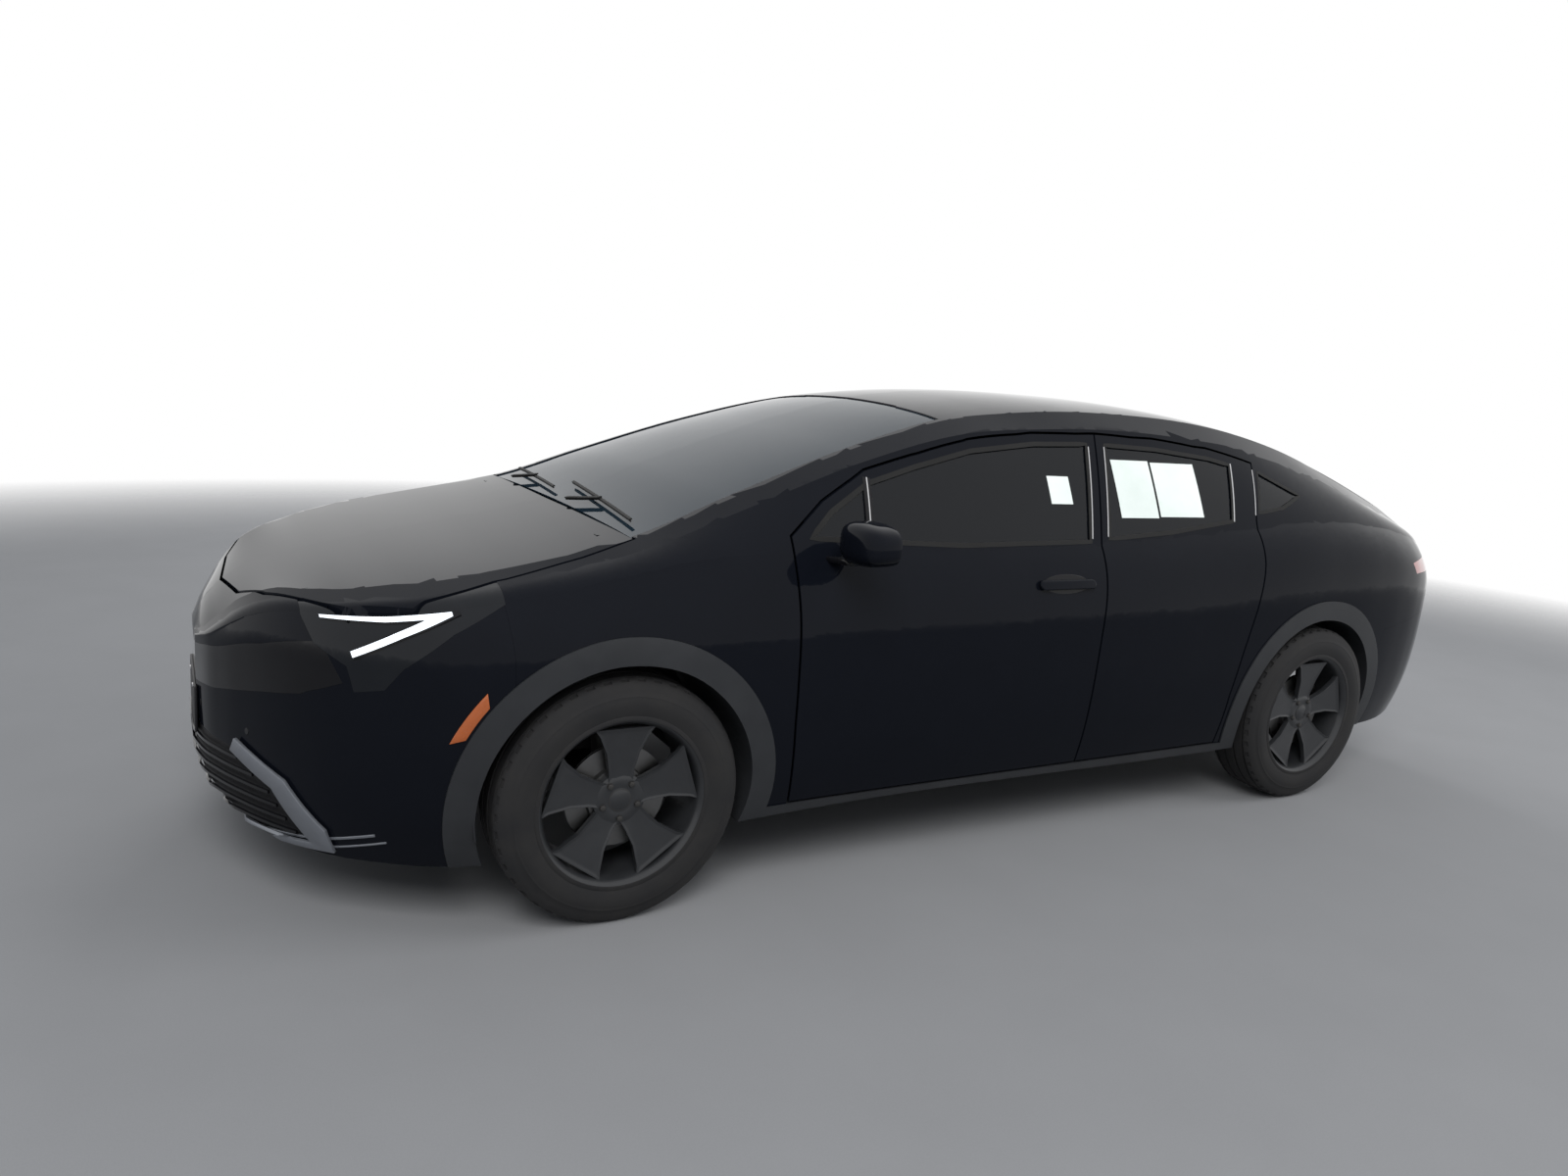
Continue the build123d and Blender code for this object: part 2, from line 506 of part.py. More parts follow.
def seat(x, y0, y1, base, back_top):
    """A cushion and a leaning backrest between two half widths."""
    with BuildPart() as chair:
        with BuildSketch(Plane.XZ.offset(-y1)):
            with BuildLine():
                Polyline((x + 500, base), (x + 500, 430), (x + 470, 470), (x + 90, 430),
                         (x - 130, back_top - 160), (x - 150, back_top), (x - 250, back_top),
                         (x - 260, back_top - 160), (x - 60, 400), (x, base), close=True)
            make_face()
        extrude(amount=y1 - y0)
        fillet(chair.edges().filter_by(Axis.Y).group_by(Axis.Z)[-1], 20)
    return chair.part


piece("front_seats", both_halves(seat(-180, 120, 610, floor_top, 1150)))
piece("rear_seat", seat(-800, -535, 535, floor_top + 90, 1060))

# Tyres, rims, knuckles and axles.
half_tyre = TYRE_WIDTH / 2
tyre_radius = TYRE_DIAMETER / 2
rim_radius = RIM_DIAMETER / 2
with BuildPart() as tyre:
    with BuildSketch(Plane.YZ):
        with BuildLine():
            Polyline((-half_tyre, rim_radius), (-half_tyre, tyre_radius - SHOULDER_DROP),
                     (-half_tyre + SHOULDER_WIDTH, tyre_radius), (half_tyre - SHOULDER_WIDTH, tyre_radius),
                     (half_tyre, tyre_radius - SHOULDER_DROP), (half_tyre, rim_radius), close=True)
        make_face()
    revolve(axis=Axis.Y)
with BuildPart() as rim:
    with BuildSketch(Plane.YZ):
        with BuildLine():
            Polyline((-half_tyre + 12, rim_radius), (half_tyre - 12, rim_radius),
                     (half_tyre - 12, rim_radius - 14), (half_tyre - 30, rim_radius - 20),
                     (-half_tyre + 12, rim_radius - 20), close=True)
        make_face()
    revolve(axis=Axis.Y)
    with BuildSketch(Plane.XZ.offset(-half_tyre + 52)):
        Circle(HUB_RADIUS)
    extrude(amount=-34)
    with BuildSketch(Plane.XZ.offset(-half_tyre + 44)):
        with PolarLocations(0, RIM_SPOKES):
            with BuildLine():
                Polyline((30, -26), (rim_radius - 30, -62), (rim_radius - 12, -50), (rim_radius - 12, 50),
                         (rim_radius - 30, 62), (30, 26), close=True)
            make_face()
    extrude(amount=-22)
    with BuildSketch(Plane.XZ.offset(-half_tyre + 90)):
        Circle(STUB_RADIUS + HINGE_PLAY)
    extrude(amount=-60, mode=Mode.SUBTRACT)
for end, x, track in (("front", FRONT_AXLE, FRONT_TRACK), ("rear", REAR_AXLE, REAR_TRACK)):
    place = Location((x, track / 2, WHEEL_HEIGHT))
    left_tyre = tyre.part.moved(place)
    left_rim = rim.part.moved(place)
    piece(f"{end}_tyre_left", left_tyre)
    piece(f"{end}_tyre_right", other_side(left_tyre))
    piece(f"{end}_wheel_left", left_rim)
    piece(f"{end}_wheel_right", other_side(left_rim))
print("rim", rim.part.is_valid, len(rim.part.solids()))
hub_y = FRONT_TRACK / 2 + half_tyre - 52
with BuildPart() as knuckle:
    add(round_block((FRONT_AXLE, hub_y - 110, WHEEL_HEIGHT), (0, 1, 0), 55, 70))
    add(round_block((FRONT_AXLE, hub_y - 60, WHEEL_HEIGHT), (0, 1, 0), STUB_RADIUS, 75))
    add(round_block(kingpin_low, kingpin_lean, STRUT_RADIUS, kingpin_lean.length))
piece("knuckle_left", knuckle.part)
piece("knuckle_right", other_side(knuckle.part))
with BuildPart() as front_axle:
    add(box(FRONT_AXLE - 150, FRONT_AXLE + 40, 0, 420, 180, 250))
    add(box(FRONT_AXLE - 30, FRONT_AXLE + 30, 400, kingpin_low[1] + 20, kingpin_low[2] - 36,
            kingpin_low[2] - 7.2))
    add(box(FRONT_AXLE - 150, FRONT_AXLE - 90, 395, 460, 220, 380 - SEAT))
    add(box(FRONT_AXLE - 120, FRONT_AXLE - 50, 120, 220, 250, 300 - SEAT))
piece("front_axle", both_halves(front_axle.part))
rear_hub_y = REAR_TRACK / 2 + half_tyre - 52
with BuildPart() as rear_axle:
    add(round_block((REAR_AXLE, 0, floor_low - 42), (0, 1, 0), 28, 640))
    add(box(REAR_AXLE - 34, REAR_AXLE + 34, 580, 640, floor_low - 70, WHEEL_HEIGHT + 60))
    add(box(REAR_AXLE - 34, REAR_AXLE + 34, 600, rear_hub_y - 100, WHEEL_HEIGHT - 30, WHEEL_HEIGHT + 30))
    add(round_block((REAR_AXLE, rear_hub_y - 110, WHEEL_HEIGHT), (0, 1, 0), 55, 70))
    add(round_block((REAR_AXLE, rear_hub_y - 60, WHEEL_HEIGHT), (0, 1, 0), STUB_RADIUS, 75))
    add(box(REAR_AXLE, REAR_AXLE + 480, 440, 500, floor_low - 40, floor_low - SEAT))
piece("rear_axle", both_halves(rear_axle.part))
with BuildPart() as steering_wheel:
    with BuildSketch(Plane.XZ):
        with Locations((STEERING_WHEEL_DIAMETER / 2 - 14, 0)):
            Circle(14)
    revolve(axis=Axis.Z)
    Cylinder(45, 30)
    with PolarLocations(0, 3):
        with Locations((90, 0, 0)):
            Box(160, 30, 12)
    with Locations((0, 0, 90)):
        Cylinder(18, 180)
steering_place = Plane(origin=(560, 370 * WIDE, 860), z_dir=(0.9, 0, -0.42), x_dir=(0, 1, 0))
placed_wheel = steering_place.location * steering_wheel.part
piece("steering_wheel", placed_wheel)
column_bore = steering_place.location * round_block((0, 0, 40), (0, 0, 1), 18 + HINGE_PLAY, 160)
piece("dashboard", dashboard.part - column_bore)

# Door mirrors.
with BuildPart() as mirror_body:
    with BuildSketch(Plane.YZ.offset(700)):
        with Locations((960, 1010)):
            RectangleRounded(190, 130, 40)
    extrude(amount=95)
    fillet(mirror_body.edges().group_by(Axis.X)[-1], 35)
    add(box(712, 770, 780, 880, 955, 985))
door_mirror = largest(mirror_body.part - outer)
piece("mirror_left", door_mirror)
piece("mirror_right", other_side(door_mirror))
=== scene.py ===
"""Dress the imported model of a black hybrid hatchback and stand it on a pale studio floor."""

import json
import logging
import math
from dataclasses import dataclass
from enum import Enum
from typing import Callable, Iterable, Sequence

import bmesh
import bpy
import numpy as np
from mathutils import Matrix, Vector

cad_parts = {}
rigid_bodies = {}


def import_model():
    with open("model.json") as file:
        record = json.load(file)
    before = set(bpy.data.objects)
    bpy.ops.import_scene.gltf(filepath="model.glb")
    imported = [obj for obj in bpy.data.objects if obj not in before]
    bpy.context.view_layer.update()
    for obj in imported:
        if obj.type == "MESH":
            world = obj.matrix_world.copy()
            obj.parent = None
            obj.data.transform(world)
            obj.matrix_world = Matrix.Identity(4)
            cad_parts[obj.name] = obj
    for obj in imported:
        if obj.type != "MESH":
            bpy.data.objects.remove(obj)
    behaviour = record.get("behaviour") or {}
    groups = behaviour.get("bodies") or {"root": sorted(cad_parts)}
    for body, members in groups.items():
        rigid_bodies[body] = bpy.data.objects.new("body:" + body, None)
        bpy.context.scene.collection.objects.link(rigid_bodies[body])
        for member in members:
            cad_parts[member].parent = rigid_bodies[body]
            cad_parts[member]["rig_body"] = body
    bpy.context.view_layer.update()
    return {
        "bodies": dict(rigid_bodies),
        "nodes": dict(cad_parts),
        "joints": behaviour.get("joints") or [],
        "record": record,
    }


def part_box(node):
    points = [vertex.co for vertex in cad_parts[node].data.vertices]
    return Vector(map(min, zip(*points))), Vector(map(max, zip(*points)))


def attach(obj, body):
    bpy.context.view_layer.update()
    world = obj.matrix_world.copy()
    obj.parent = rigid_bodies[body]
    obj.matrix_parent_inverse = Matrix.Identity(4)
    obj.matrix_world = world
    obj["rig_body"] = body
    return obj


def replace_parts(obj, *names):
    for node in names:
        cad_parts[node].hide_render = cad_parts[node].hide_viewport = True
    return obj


log = logging.getLogger("hatchback")
MM = 0.001


# ---------------------------------------------------------------------------------------------
# Shader maths
# ---------------------------------------------------------------------------------------------
class Sock:
    """A shader socket that takes part in Python arithmetic."""

    def __init__(self, graph: "Graph", socket: bpy.types.NodeSocket) -> None:
        """Keep the socket and the graph that it belongs to."""
        self.graph = graph
        self.socket = socket

    def _math(self, operation: str, left: "Sock | float", right: "Sock | float") -> "Sock":
        """Add one Math node to the graph.

        Args:
            operation: The Math node's operation.
            left: The first value.
            right: The second value.

        Returns:
            The node's result.
        """
        return self.graph.node("ShaderNodeMath", {"operation": operation}, {0: left, 1: right})

    def __add__(self, other: "Sock | float") -> "Sock":
        """Return the sum."""
        return self._math("ADD", self, other)

    def __radd__(self, other: "Sock | float") -> "Sock":
        """Return the sum, reflected."""
        return self._math("ADD", other, self)

    def __sub__(self, other: "Sock | float") -> "Sock":
        """Return the difference."""
        return self._math("SUBTRACT", self, other)

    def __rsub__(self, other: "Sock | float") -> "Sock":
        """Return the difference, reflected."""
        return self._math("SUBTRACT", other, self)

    def __mul__(self, other: "Sock | float") -> "Sock":
        """Return the product."""
        return self._math("MULTIPLY", self, other)

    def __rmul__(self, other: "Sock | float") -> "Sock":
        """Return the product, reflected."""
        return self._math("MULTIPLY", other, self)

    def __truediv__(self, other: "Sock | float") -> "Sock":
        """Return the quotient."""
        return self._math("DIVIDE", self, other)

    def __pow__(self, other: "Sock | float") -> "Sock":
        """Return the power."""
        return self._math("POWER", self, other)

    def over(self, limit: float) -> "Sock":
        """Return one where the value passes the limit, and zero elsewhere."""
        return self._math("GREATER_THAN", self, limit)

    def clamp(self) -> "Sock":
        """Return the value held between zero and one."""
        return self.graph.node("ShaderNodeClamp", {}, {"Value": self})


class Graph:
    """The node tree of one material, with short ways to add to it."""

    def __init__(self, name: str) -> None:
        """Start an empty node tree.

        Args:
            name: The material's name.
        """
        self.material = bpy.data.materials.new(name)
        self.material.use_nodes = True
        self.tree = self.material.node_tree
        self.tree.nodes.clear()
        self.place: Sock | None = None

    def node(self, kind: str, settings: dict, inputs: dict, output: int | str = 0) -> Sock:
        """Add a node, give it its settings, and join or fill its inputs.

        Args:
            kind: The node's type.
            settings: Attributes that are set before its inputs.
            inputs: Values or sockets, by input name or number.
            output: The output that is wanted, by name or number.

        Returns:
            The chosen output.
        """
        made = self.tree.nodes.new(kind)
        for key, value in settings.items():
            setattr(made, key, value)
        for key, value in inputs.items():
            if isinstance(value, Sock):
                self.tree.links.new(value.socket, made.inputs[key])
            else:
                made.inputs[key].default_value = value
        return Sock(self, made.outputs[output])

    def coords(self) -> Sock:
        """Return the object coordinates, which are the car's own metres."""
        if self.place is None:
            self.place = self.node("ShaderNodeTexCoord", {}, {}, "Object")
        return self.place

    def noise(self, scale: float, detail: float = 2.0, roughness: float = 0.5) -> Sock:
        """Return an even noise between about zero and one.

        Args:
            scale: The number of cells in a metre.
            detail: The number of finer layers.
            roughness: The weight of the finer layers.

        Returns:
            The noise.
        """
        return self.node("ShaderNodeTexNoise", {}, {"Vector": self.coords(), "Scale": scale,
                                                    "Detail": detail, "Roughness": roughness}, "Fac")

    def cells(self, scale: float) -> Sock:
        """Return the distance to the nearest of many scattered points."""
        return self.node("ShaderNodeTexVoronoi", {}, {"Vector": self.coords(), "Scale": scale}, "Distance")

    def axis(self, name: str) -> Sock:
        """Return one of the X, Y and Z coordinates."""
        return self.node("ShaderNodeSeparateXYZ", {}, {"Vector": self.coords()}, name)

    def blend(self, share: "Sock | float", first: "Sock | tuple", second: "Sock | tuple") -> Sock:
        """Return a colour between two others.

        Args:
            share: How much of the second colour shows.
            first: The colour at zero.
            second: The colour at one.

        Returns:
            The mixed colour.
        """
        return self.node("ShaderNodeMix", {"data_type": "RGBA"}, {0: share, 6: first, 7: second}, 2)

    def bump(self, height: Sock, strength: float, distance: float) -> Sock:
        """Return a normal that a height pattern tilts.

        Args:
            height: The height pattern.
            strength: The share of the effect, up to one.
            distance: The depth in metres of a height of one.

        Returns:
            The tilted normal.
        """
        return self.node("ShaderNodeBump", {}, {"Height": height, "Strength": strength,
                                                "Distance": distance}, "Normal")

    def close(self, shader: Sock) -> bpy.types.Material:
        """Join the last shader to the output and return the material."""
        out = self.tree.nodes.new("ShaderNodeOutputMaterial")
        self.tree.links.new(shader.socket, out.inputs["Surface"])
        return self.material

    def surface(self, **inputs: "Sock | float | tuple") -> bpy.types.Material:
        """Close the tree with a Principled shader.

        Args:
            inputs: Its inputs by name, with underscores for blanks.

        Returns:
            The finished material.
        """
        named = {key.replace("_", " "): value for key, value in inputs.items()}
        return self.close(self.node("ShaderNodeBsdfPrincipled", {}, named, "BSDF"))


def rgba(red: float, green: float, blue: float) -> tuple[float, float, float, float]:
    """Return an opaque colour."""
    return (red, green, blue, 1.0)


# ---------------------------------------------------------------------------------------------
# Finishes
# ---------------------------------------------------------------------------------------------
@dataclass(frozen=True)
class Paint:
    """Gloss black car paint: a fine flake under a clear, slightly rippled coat."""

    name: str = "black_paint"
    deep: tuple = (0.0035, 0.0042, 0.0065, 1.0)
    flake: tuple = (0.010, 0.012, 0.018, 1.0)
    ripple: float = 0.000004

    def build(self) -> bpy.types.Material:
        """Return the material."""
        g = Graph(self.name)
        flakes = (g.noise(2600.0, 1.0) - 0.5) * 2.4
        dust = g.noise(9.0, 4.0) * 0.5
        colour = g.blend((flakes * 0.6 + dust * 0.35).clamp(), self.deep, self.flake)
        return g.surface(Base_Color=colour, Roughness=0.32 + g.noise(7.0, 3.0) * 0.08, Metallic=0.0,
                         Specular_IOR_Level=0.0, Coat_Weight=1.0, Coat_Roughness=0.02, Coat_IOR=1.19,
                         Normal=g.bump(g.noise(420.0, 1.0), 0.2, self.ripple))


@dataclass(frozen=True)
class GlossPlastic:
    """Moulded plastic with a clear gloss, as on pillars, lamps and mirror caps."""

    name: str
    colour: tuple
    roughness: float = 0.07
    coat: float = 0.6

    def build(self) -> bpy.types.Material:
        """Return the material."""
        g = Graph(self.name)
        haze = g.noise(14.0, 4.0)
        tint = g.blend(haze * 0.3, self.colour, rgba(*[min(1.0, c * 1.5 + 0.004) for c in self.colour[:3]]))
        return g.surface(Base_Color=tint, Roughness=self.roughness + haze * 0.05, Coat_Weight=self.coat,
                         Coat_Roughness=0.02, Coat_IOR=1.22, Specular_IOR_Level=0.1,
                         Normal=g.bump(g.noise(300.0, 1.0), 0.15, 0.000004))


@dataclass(frozen=True)
class GrainedPlastic:
    """Unpainted plastic with a fine leather-like grain and a dusty bloom."""

    name: str
    colour: tuple
    roughness: float = 0.5
    grain: float = 900.0
    depth: float = 0.00012

    def build(self) -> bpy.types.Material:
        """Return the material."""
        g = Graph(self.name)
        pits = g.cells(self.grain)
        bloom = g.noise(5.0, 5.0, 0.6)
        pale = rgba(*[min(1.0, c * 1.9 + 0.01) for c in self.colour[:3]])
        return g.surface(Base_Color=g.blend((bloom - 0.35) * 0.7 + pits * 0.12, self.colour, pale),
                         Roughness=self.roughness + (bloom - 0.5) * 0.18, Specular_IOR_Level=0.25,
                         Normal=g.bump(pits + g.noise(self.grain * 0.4, 2.0) * 0.4, 0.6, self.depth))


@dataclass(frozen=True)
class TyreRubber:
    """Road rubber, browned a little where dust settles."""

    name: str = "tyre_rubber"

    def build(self) -> bpy.types.Material:
        """Return the material."""
        g = Graph(self.name)
        dust = g.noise(11.0, 5.0, 0.65)
        colour = g.blend((dust - 0.3) * 0.8, rgba(0.011, 0.011, 0.012), rgba(0.034, 0.032, 0.029))
        return g.surface(Base_Color=colour, Roughness=0.62 + dust * 0.2, Specular_IOR_Level=0.35,
                         Normal=g.bump(g.noise(420.0, 3.0), 0.5, 0.0002))


@dataclass(frozen=True)
class Metal:
    """Cast, brushed or painted metal."""

    name: str
    colour: tuple
    roughness: float = 0.35
    metallic: float = 1.0
    streak: float = 60.0
    coat: float = 0.0

    def build(self) -> bpy.types.Material:
        """Return the material."""
        g = Graph(self.name)
        wear = g.noise(self.streak, 4.0, 0.6)
        pale = rgba(*[min(1.0, c * 1.35 + 0.008) for c in self.colour[:3]])
        return g.surface(Base_Color=g.blend(wear * 0.6, self.colour, pale), Metallic=self.metallic,
                         Roughness=self.roughness + (wear - 0.5) * 0.16, Coat_Weight=self.coat,
                         Normal=g.bump(g.noise(self.streak * 14.0, 2.0), 0.25, 0.00008))


@dataclass(frozen=True)
class WindowGlass:
    """Tinted safety glass."""

    name: str
    tint: tuple
    veil: float

    def build(self) -> bpy.types.Material:
        """Return the material."""
        g = Graph(self.name)
        smear = g.noise(6.0, 4.0)
        pane = g.node("ShaderNodeBsdfPrincipled", {}, {
            "Base Color": self.tint, "Roughness": 0.01 + smear * 0.03, "IOR": 1.4}, "BSDF")
        clear = g.node("ShaderNodeBsdfTransparent", {}, {"Color": (0.36, 0.42, 0.46, 1.0)}, "BSDF")
        edge = g.node("ShaderNodeFresnel", {}, {"IOR": 1.3}, "Fac")
        share = (edge * 0.9 + self.veil).clamp()
        return g.close(g.node("ShaderNodeMixShader", {}, {0: share, 1: clear, 2: pane}, 0))


@dataclass(frozen=True)
class Glow:
    """A frosted light guide that is lit from behind."""

    name: str
    colour: tuple
    strength: float

    def build(self) -> bpy.types.Material:
        """Return the material."""
        g = Graph(self.name)
        return g.surface(Base_Color=self.colour, Roughness=0.22 + g.noise(40.0) * 0.1, Coat_Weight=1.0,
                         Emission_Color=g.blend(g.noise(60.0) * 0.4, self.colour, rgba(1.0, 1.0, 1.0)),
                         Emission_Strength=self.strength)


@dataclass(frozen=True)
class Lens:
    """Coloured lamp plastic with fine flutes below its clear face."""

    name: str
    colour: tuple
    dark: tuple
    flutes: float = 260.0

    def build(self) -> bpy.types.Material:
        """Return the material."""
        g = Graph(self.name)
        wave = g.node("ShaderNodeMath", {"operation": "SINE"}, {0: g.axis("Z") * (self.flutes * 6.283)})
        return g.surface(Base_Color=g.blend(wave * 0.25 + 0.35, self.colour, self.dark), Roughness=0.12,
                         Coat_Weight=1.0, Coat_Roughness=0.02, Normal=g.bump(wave, 0.4, 0.0004))


@dataclass(frozen=True)
class SeatCloth:
    """Woven seat cloth with a short pile."""

    name: str
    thread: tuple
    gap: tuple

    def build(self) -> bpy.types.Material:
        """Return the material."""
        g = Graph(self.name)
        across = g.node("ShaderNodeMath", {"operation": "SINE"}, {0: g.axis("Y") * 3600.0})
        along = g.node("ShaderNodeMath", {"operation": "SINE"}, {0: (g.axis("X") + g.axis("Z")) * 3600.0})
        weave = across * along * 0.5 + 0.5
        shade = (weave * 0.7 + g.noise(30.0, 4.0) * 0.4).clamp()
        return g.surface(Base_Color=g.blend(shade, self.gap, self.thread), Roughness=0.85,
                         Sheen_Weight=0.3, Normal=g.bump(weave, 0.7, 0.0005))


@dataclass(frozen=True)
class StudioFloor:
    """A pale, lightly mottled floor."""

    name: str = "studio_floor"
    colour: tuple = (0.20, 0.202, 0.207, 1.0)
    fade: tuple[float, float] = (5.2, 8.6)

    def build(self) -> bpy.types.Material:
        """Return the material."""
        g = Graph(self.name)
        speck = g.noise(220.0, 3.0, 0.7) * 0.5 + g.noise(3.0, 4.0) * 0.4
        pale = rgba(*[c * 1.25 for c in self.colour[:3]])
        ground = g.node("ShaderNodeBsdfPrincipled", {}, {
            "Base Color": g.blend((speck - 0.2).clamp(), self.colour, pale), "Roughness": 0.75,
            "Specular IOR Level": 0.2, "Normal": g.bump(g.noise(300.0, 3.0), 0.3, 0.001)}, "BSDF")
        away = (g.axis("X") * g.axis("X") + g.axis("Y") * g.axis("Y")) ** 0.5
        near, far = self.fade
        share = ((away - near) / (far - near)).clamp()
        open_air = g.node("ShaderNodeBsdfTransparent", {}, {}, "BSDF")
        return g.close(g.node("ShaderNodeMixShader", {}, {0: share * share, 1: ground, 2: open_air}, 0))


class Look(Enum):
    """The finishes that the car's pieces take."""

    PAINT = Paint()
    GLOSS = GlossPlastic("gloss_black", rgba(0.004, 0.004, 0.005), 0.05, 1.0)
    CLADDING = GrainedPlastic("arch_cladding", rgba(0.018, 0.019, 0.021), 0.42)
    SEAL = GrainedPlastic("rubber_seal", rgba(0.006, 0.006, 0.006), 0.6, 700.0)
    GRILLE = GrainedPlastic("grille_black", rgba(0.007, 0.007, 0.008), 0.45, 1200.0)
    LINER = GrainedPlastic("wheel_liner", rgba(0.008, 0.008, 0.008), 0.85, 300.0, 0.0004)
    CABIN = GrainedPlastic("cabin_plastic", rgba(0.03, 0.03, 0.032), 0.6, 800.0)
    CABIN_PALE = GrainedPlastic("headliner", rgba(0.32, 0.32, 0.31), 0.8, 500.0)
    TYRE = TyreRubber()
    RIM = Metal("rim_charcoal", rgba(0.020, 0.021, 0.023), 0.42, 0.35, 30.0, 0.25)
    DISC = Metal("brake_disc", rgba(0.14, 0.14, 0.14), 0.42, 1.0, 90.0)
    IRON = Metal("cast_iron", rgba(0.06, 0.058, 0.056), 0.65, 0.8, 40.0)
    STEEL = Metal("bright_steel", rgba(0.55, 0.55, 0.56), 0.3, 1.0, 80.0)
    # This silver is a painted reflection: it stands for the white sky reflected in the gloss black trim round
    # the lower intake.
    SILVER_PAINTED_REFLECTION = Metal("silver_painted_reflection", rgba(0.17, 0.18, 0.20), 0.42, 0.6, 20.0, 0.2)
    UNDERBODY = Metal("underbody_paint", rgba(0.02, 0.02, 0.021), 0.7, 0.1, 12.0)
    SCREEN_GLASS = WindowGlass("windscreen_glass", rgba(0.012, 0.024, 0.036), 0.58)
    SIDE_GLASS = WindowGlass("side_glass", rgba(0.003, 0.004, 0.006), 0.74)
    MIRROR_GLASS = Metal("mirror_glass", rgba(0.6, 0.63, 0.66), 0.03, 1.0, 10.0)
    STRIP = Glow("light_guide", rgba(0.86, 0.93, 1.0), 0.9)
    LAMP_DARK = GlossPlastic("lamp_smoked", rgba(0.006, 0.007, 0.009), 0.03, 1.0)
    RED = Lens("tail_lens", rgba(0.30, 0.006, 0.008), rgba(0.10, 0.002, 0.003))
    AMBER = Lens("marker_lens", rgba(0.42, 0.09, 0.006), rgba(0.20, 0.035, 0.003), 400.0)
    CLOTH = SeatCloth("seat_cloth", rgba(0.065, 0.065, 0.07), rgba(0.015, 0.015, 0.017))
    PAPER = GrainedPlastic("blank_sheet", rgba(0.62, 0.68, 0.64), 0.85, 1500.0, 0.00002)
    FLOOR = StudioFloor()


class Finishes:
    """The built materials, each made once."""

    def __init__(self) -> None:
        """Start with none built."""
        self.built: dict[Look, bpy.types.Material] = {}

    def __getitem__(self, look: Look) -> bpy.types.Material:
        """Return the material of a look, and build it the first time."""
        if look not in self.built:
            self.built[look] = look.value.build()
        return self.built[look]


# ---------------------------------------------------------------------------------------------
# The body's smooth surface
# ---------------------------------------------------------------------------------------------
Knots = Sequence[tuple[float, float]]


def law(*knots: tuple[float, float]) -> Callable[[np.ndarray], np.ndarray]:
    """Make a smooth curve through (position, value) knots, as the solid model draws its own.

    Args:
        knots: Positions and values.

    Returns:
        A function of an array of positions.
    """
    at, value = np.array(sorted(knots), float).T
    gap = np.diff(at)
    slope = np.diff(value) / gap
    lean = np.empty(len(at))
    lean[0], lean[-1] = slope[0], slope[-1]
    lean[1:-1] = (slope[:-1] * gap[1:] + slope[1:] * gap[:-1]) / (gap[:-1] + gap[1:])

    def curve(x: np.ndarray) -> np.ndarray:
        """Return the curve's values at an array of positions."""
        i = np.clip(np.searchsorted(at, x, side="right") - 1, 0, len(gap) - 1)
        t = (x - at[i]) / gap[i]
        inside = ((2 * t**3 - 3 * t**2 + 1) * value[i] + (t**3 - 2 * t**2 + t) * gap[i] * lean[i]
                  + (-2 * t**3 + 3 * t**2) * value[i + 1] + (t**3 - t**2) * gap[i] * lean[i + 1])
        before = value[0] + lean[0] * (x - at[0])
        after = value[-1] + lean[-1] * (x - at[-1])
        return np.where(x < at[0], before, np.where(x > at[-1], after, inside))

    return curve


def spline_weights(knots: Sequence[float], places: np.ndarray) -> np.ndarray:
    """Work out how much each point of an interpolating spline counts at given places.

    Args:
        knots: The parameters of the points.
        places: Where the spline is wanted.

    Returns:
        One row a place and one column a point.
    """
    at = np.array(knots, float)
    n = len(at)
    order = min(4, n)
    unit = np.eye(n)
    matrix, right = np.zeros((n, n)), np.zeros((n, n))
    for row, chosen in ((0, range(order)), (n - 1, range(n - order, n))):
        picked = list(chosen)
        inverse = np.linalg.inv(np.vander(at[picked] - at[row], order, increasing=True))
        matrix[row, row] = 1.0
        right[row, picked] = inverse[1]
    for i in range(1, n - 1):
        back, ahead = at[i] - at[i - 1], at[i + 1] - at[i]
        matrix[i, i - 1], matrix[i, i], matrix[i, i + 1] = 1 / back, 2 / back + 2 / ahead, 1 / ahead
        right[i] = 3 * ((unit[i] - unit[i - 1]) / back**2 + (unit[i + 1] - unit[i]) / ahead**2)
    slopes = np.linalg.solve(matrix, right)
    i = np.clip(np.searchsorted(at, places, side="right") - 1, 0, n - 2)
    gap = (at[i + 1] - at[i])[:, None]
    t = ((places - at[i]) / (at[i + 1] - at[i]))[:, None]
    return ((2 * t**3 - 3 * t**2 + 1) * unit[i] + (t**3 - 2 * t**2 + t) * gap * slopes[i]
            + (-2 * t**3 + 3 * t**2) * unit[i + 1] + (t**3 - t**2) * gap * slopes[i + 1])


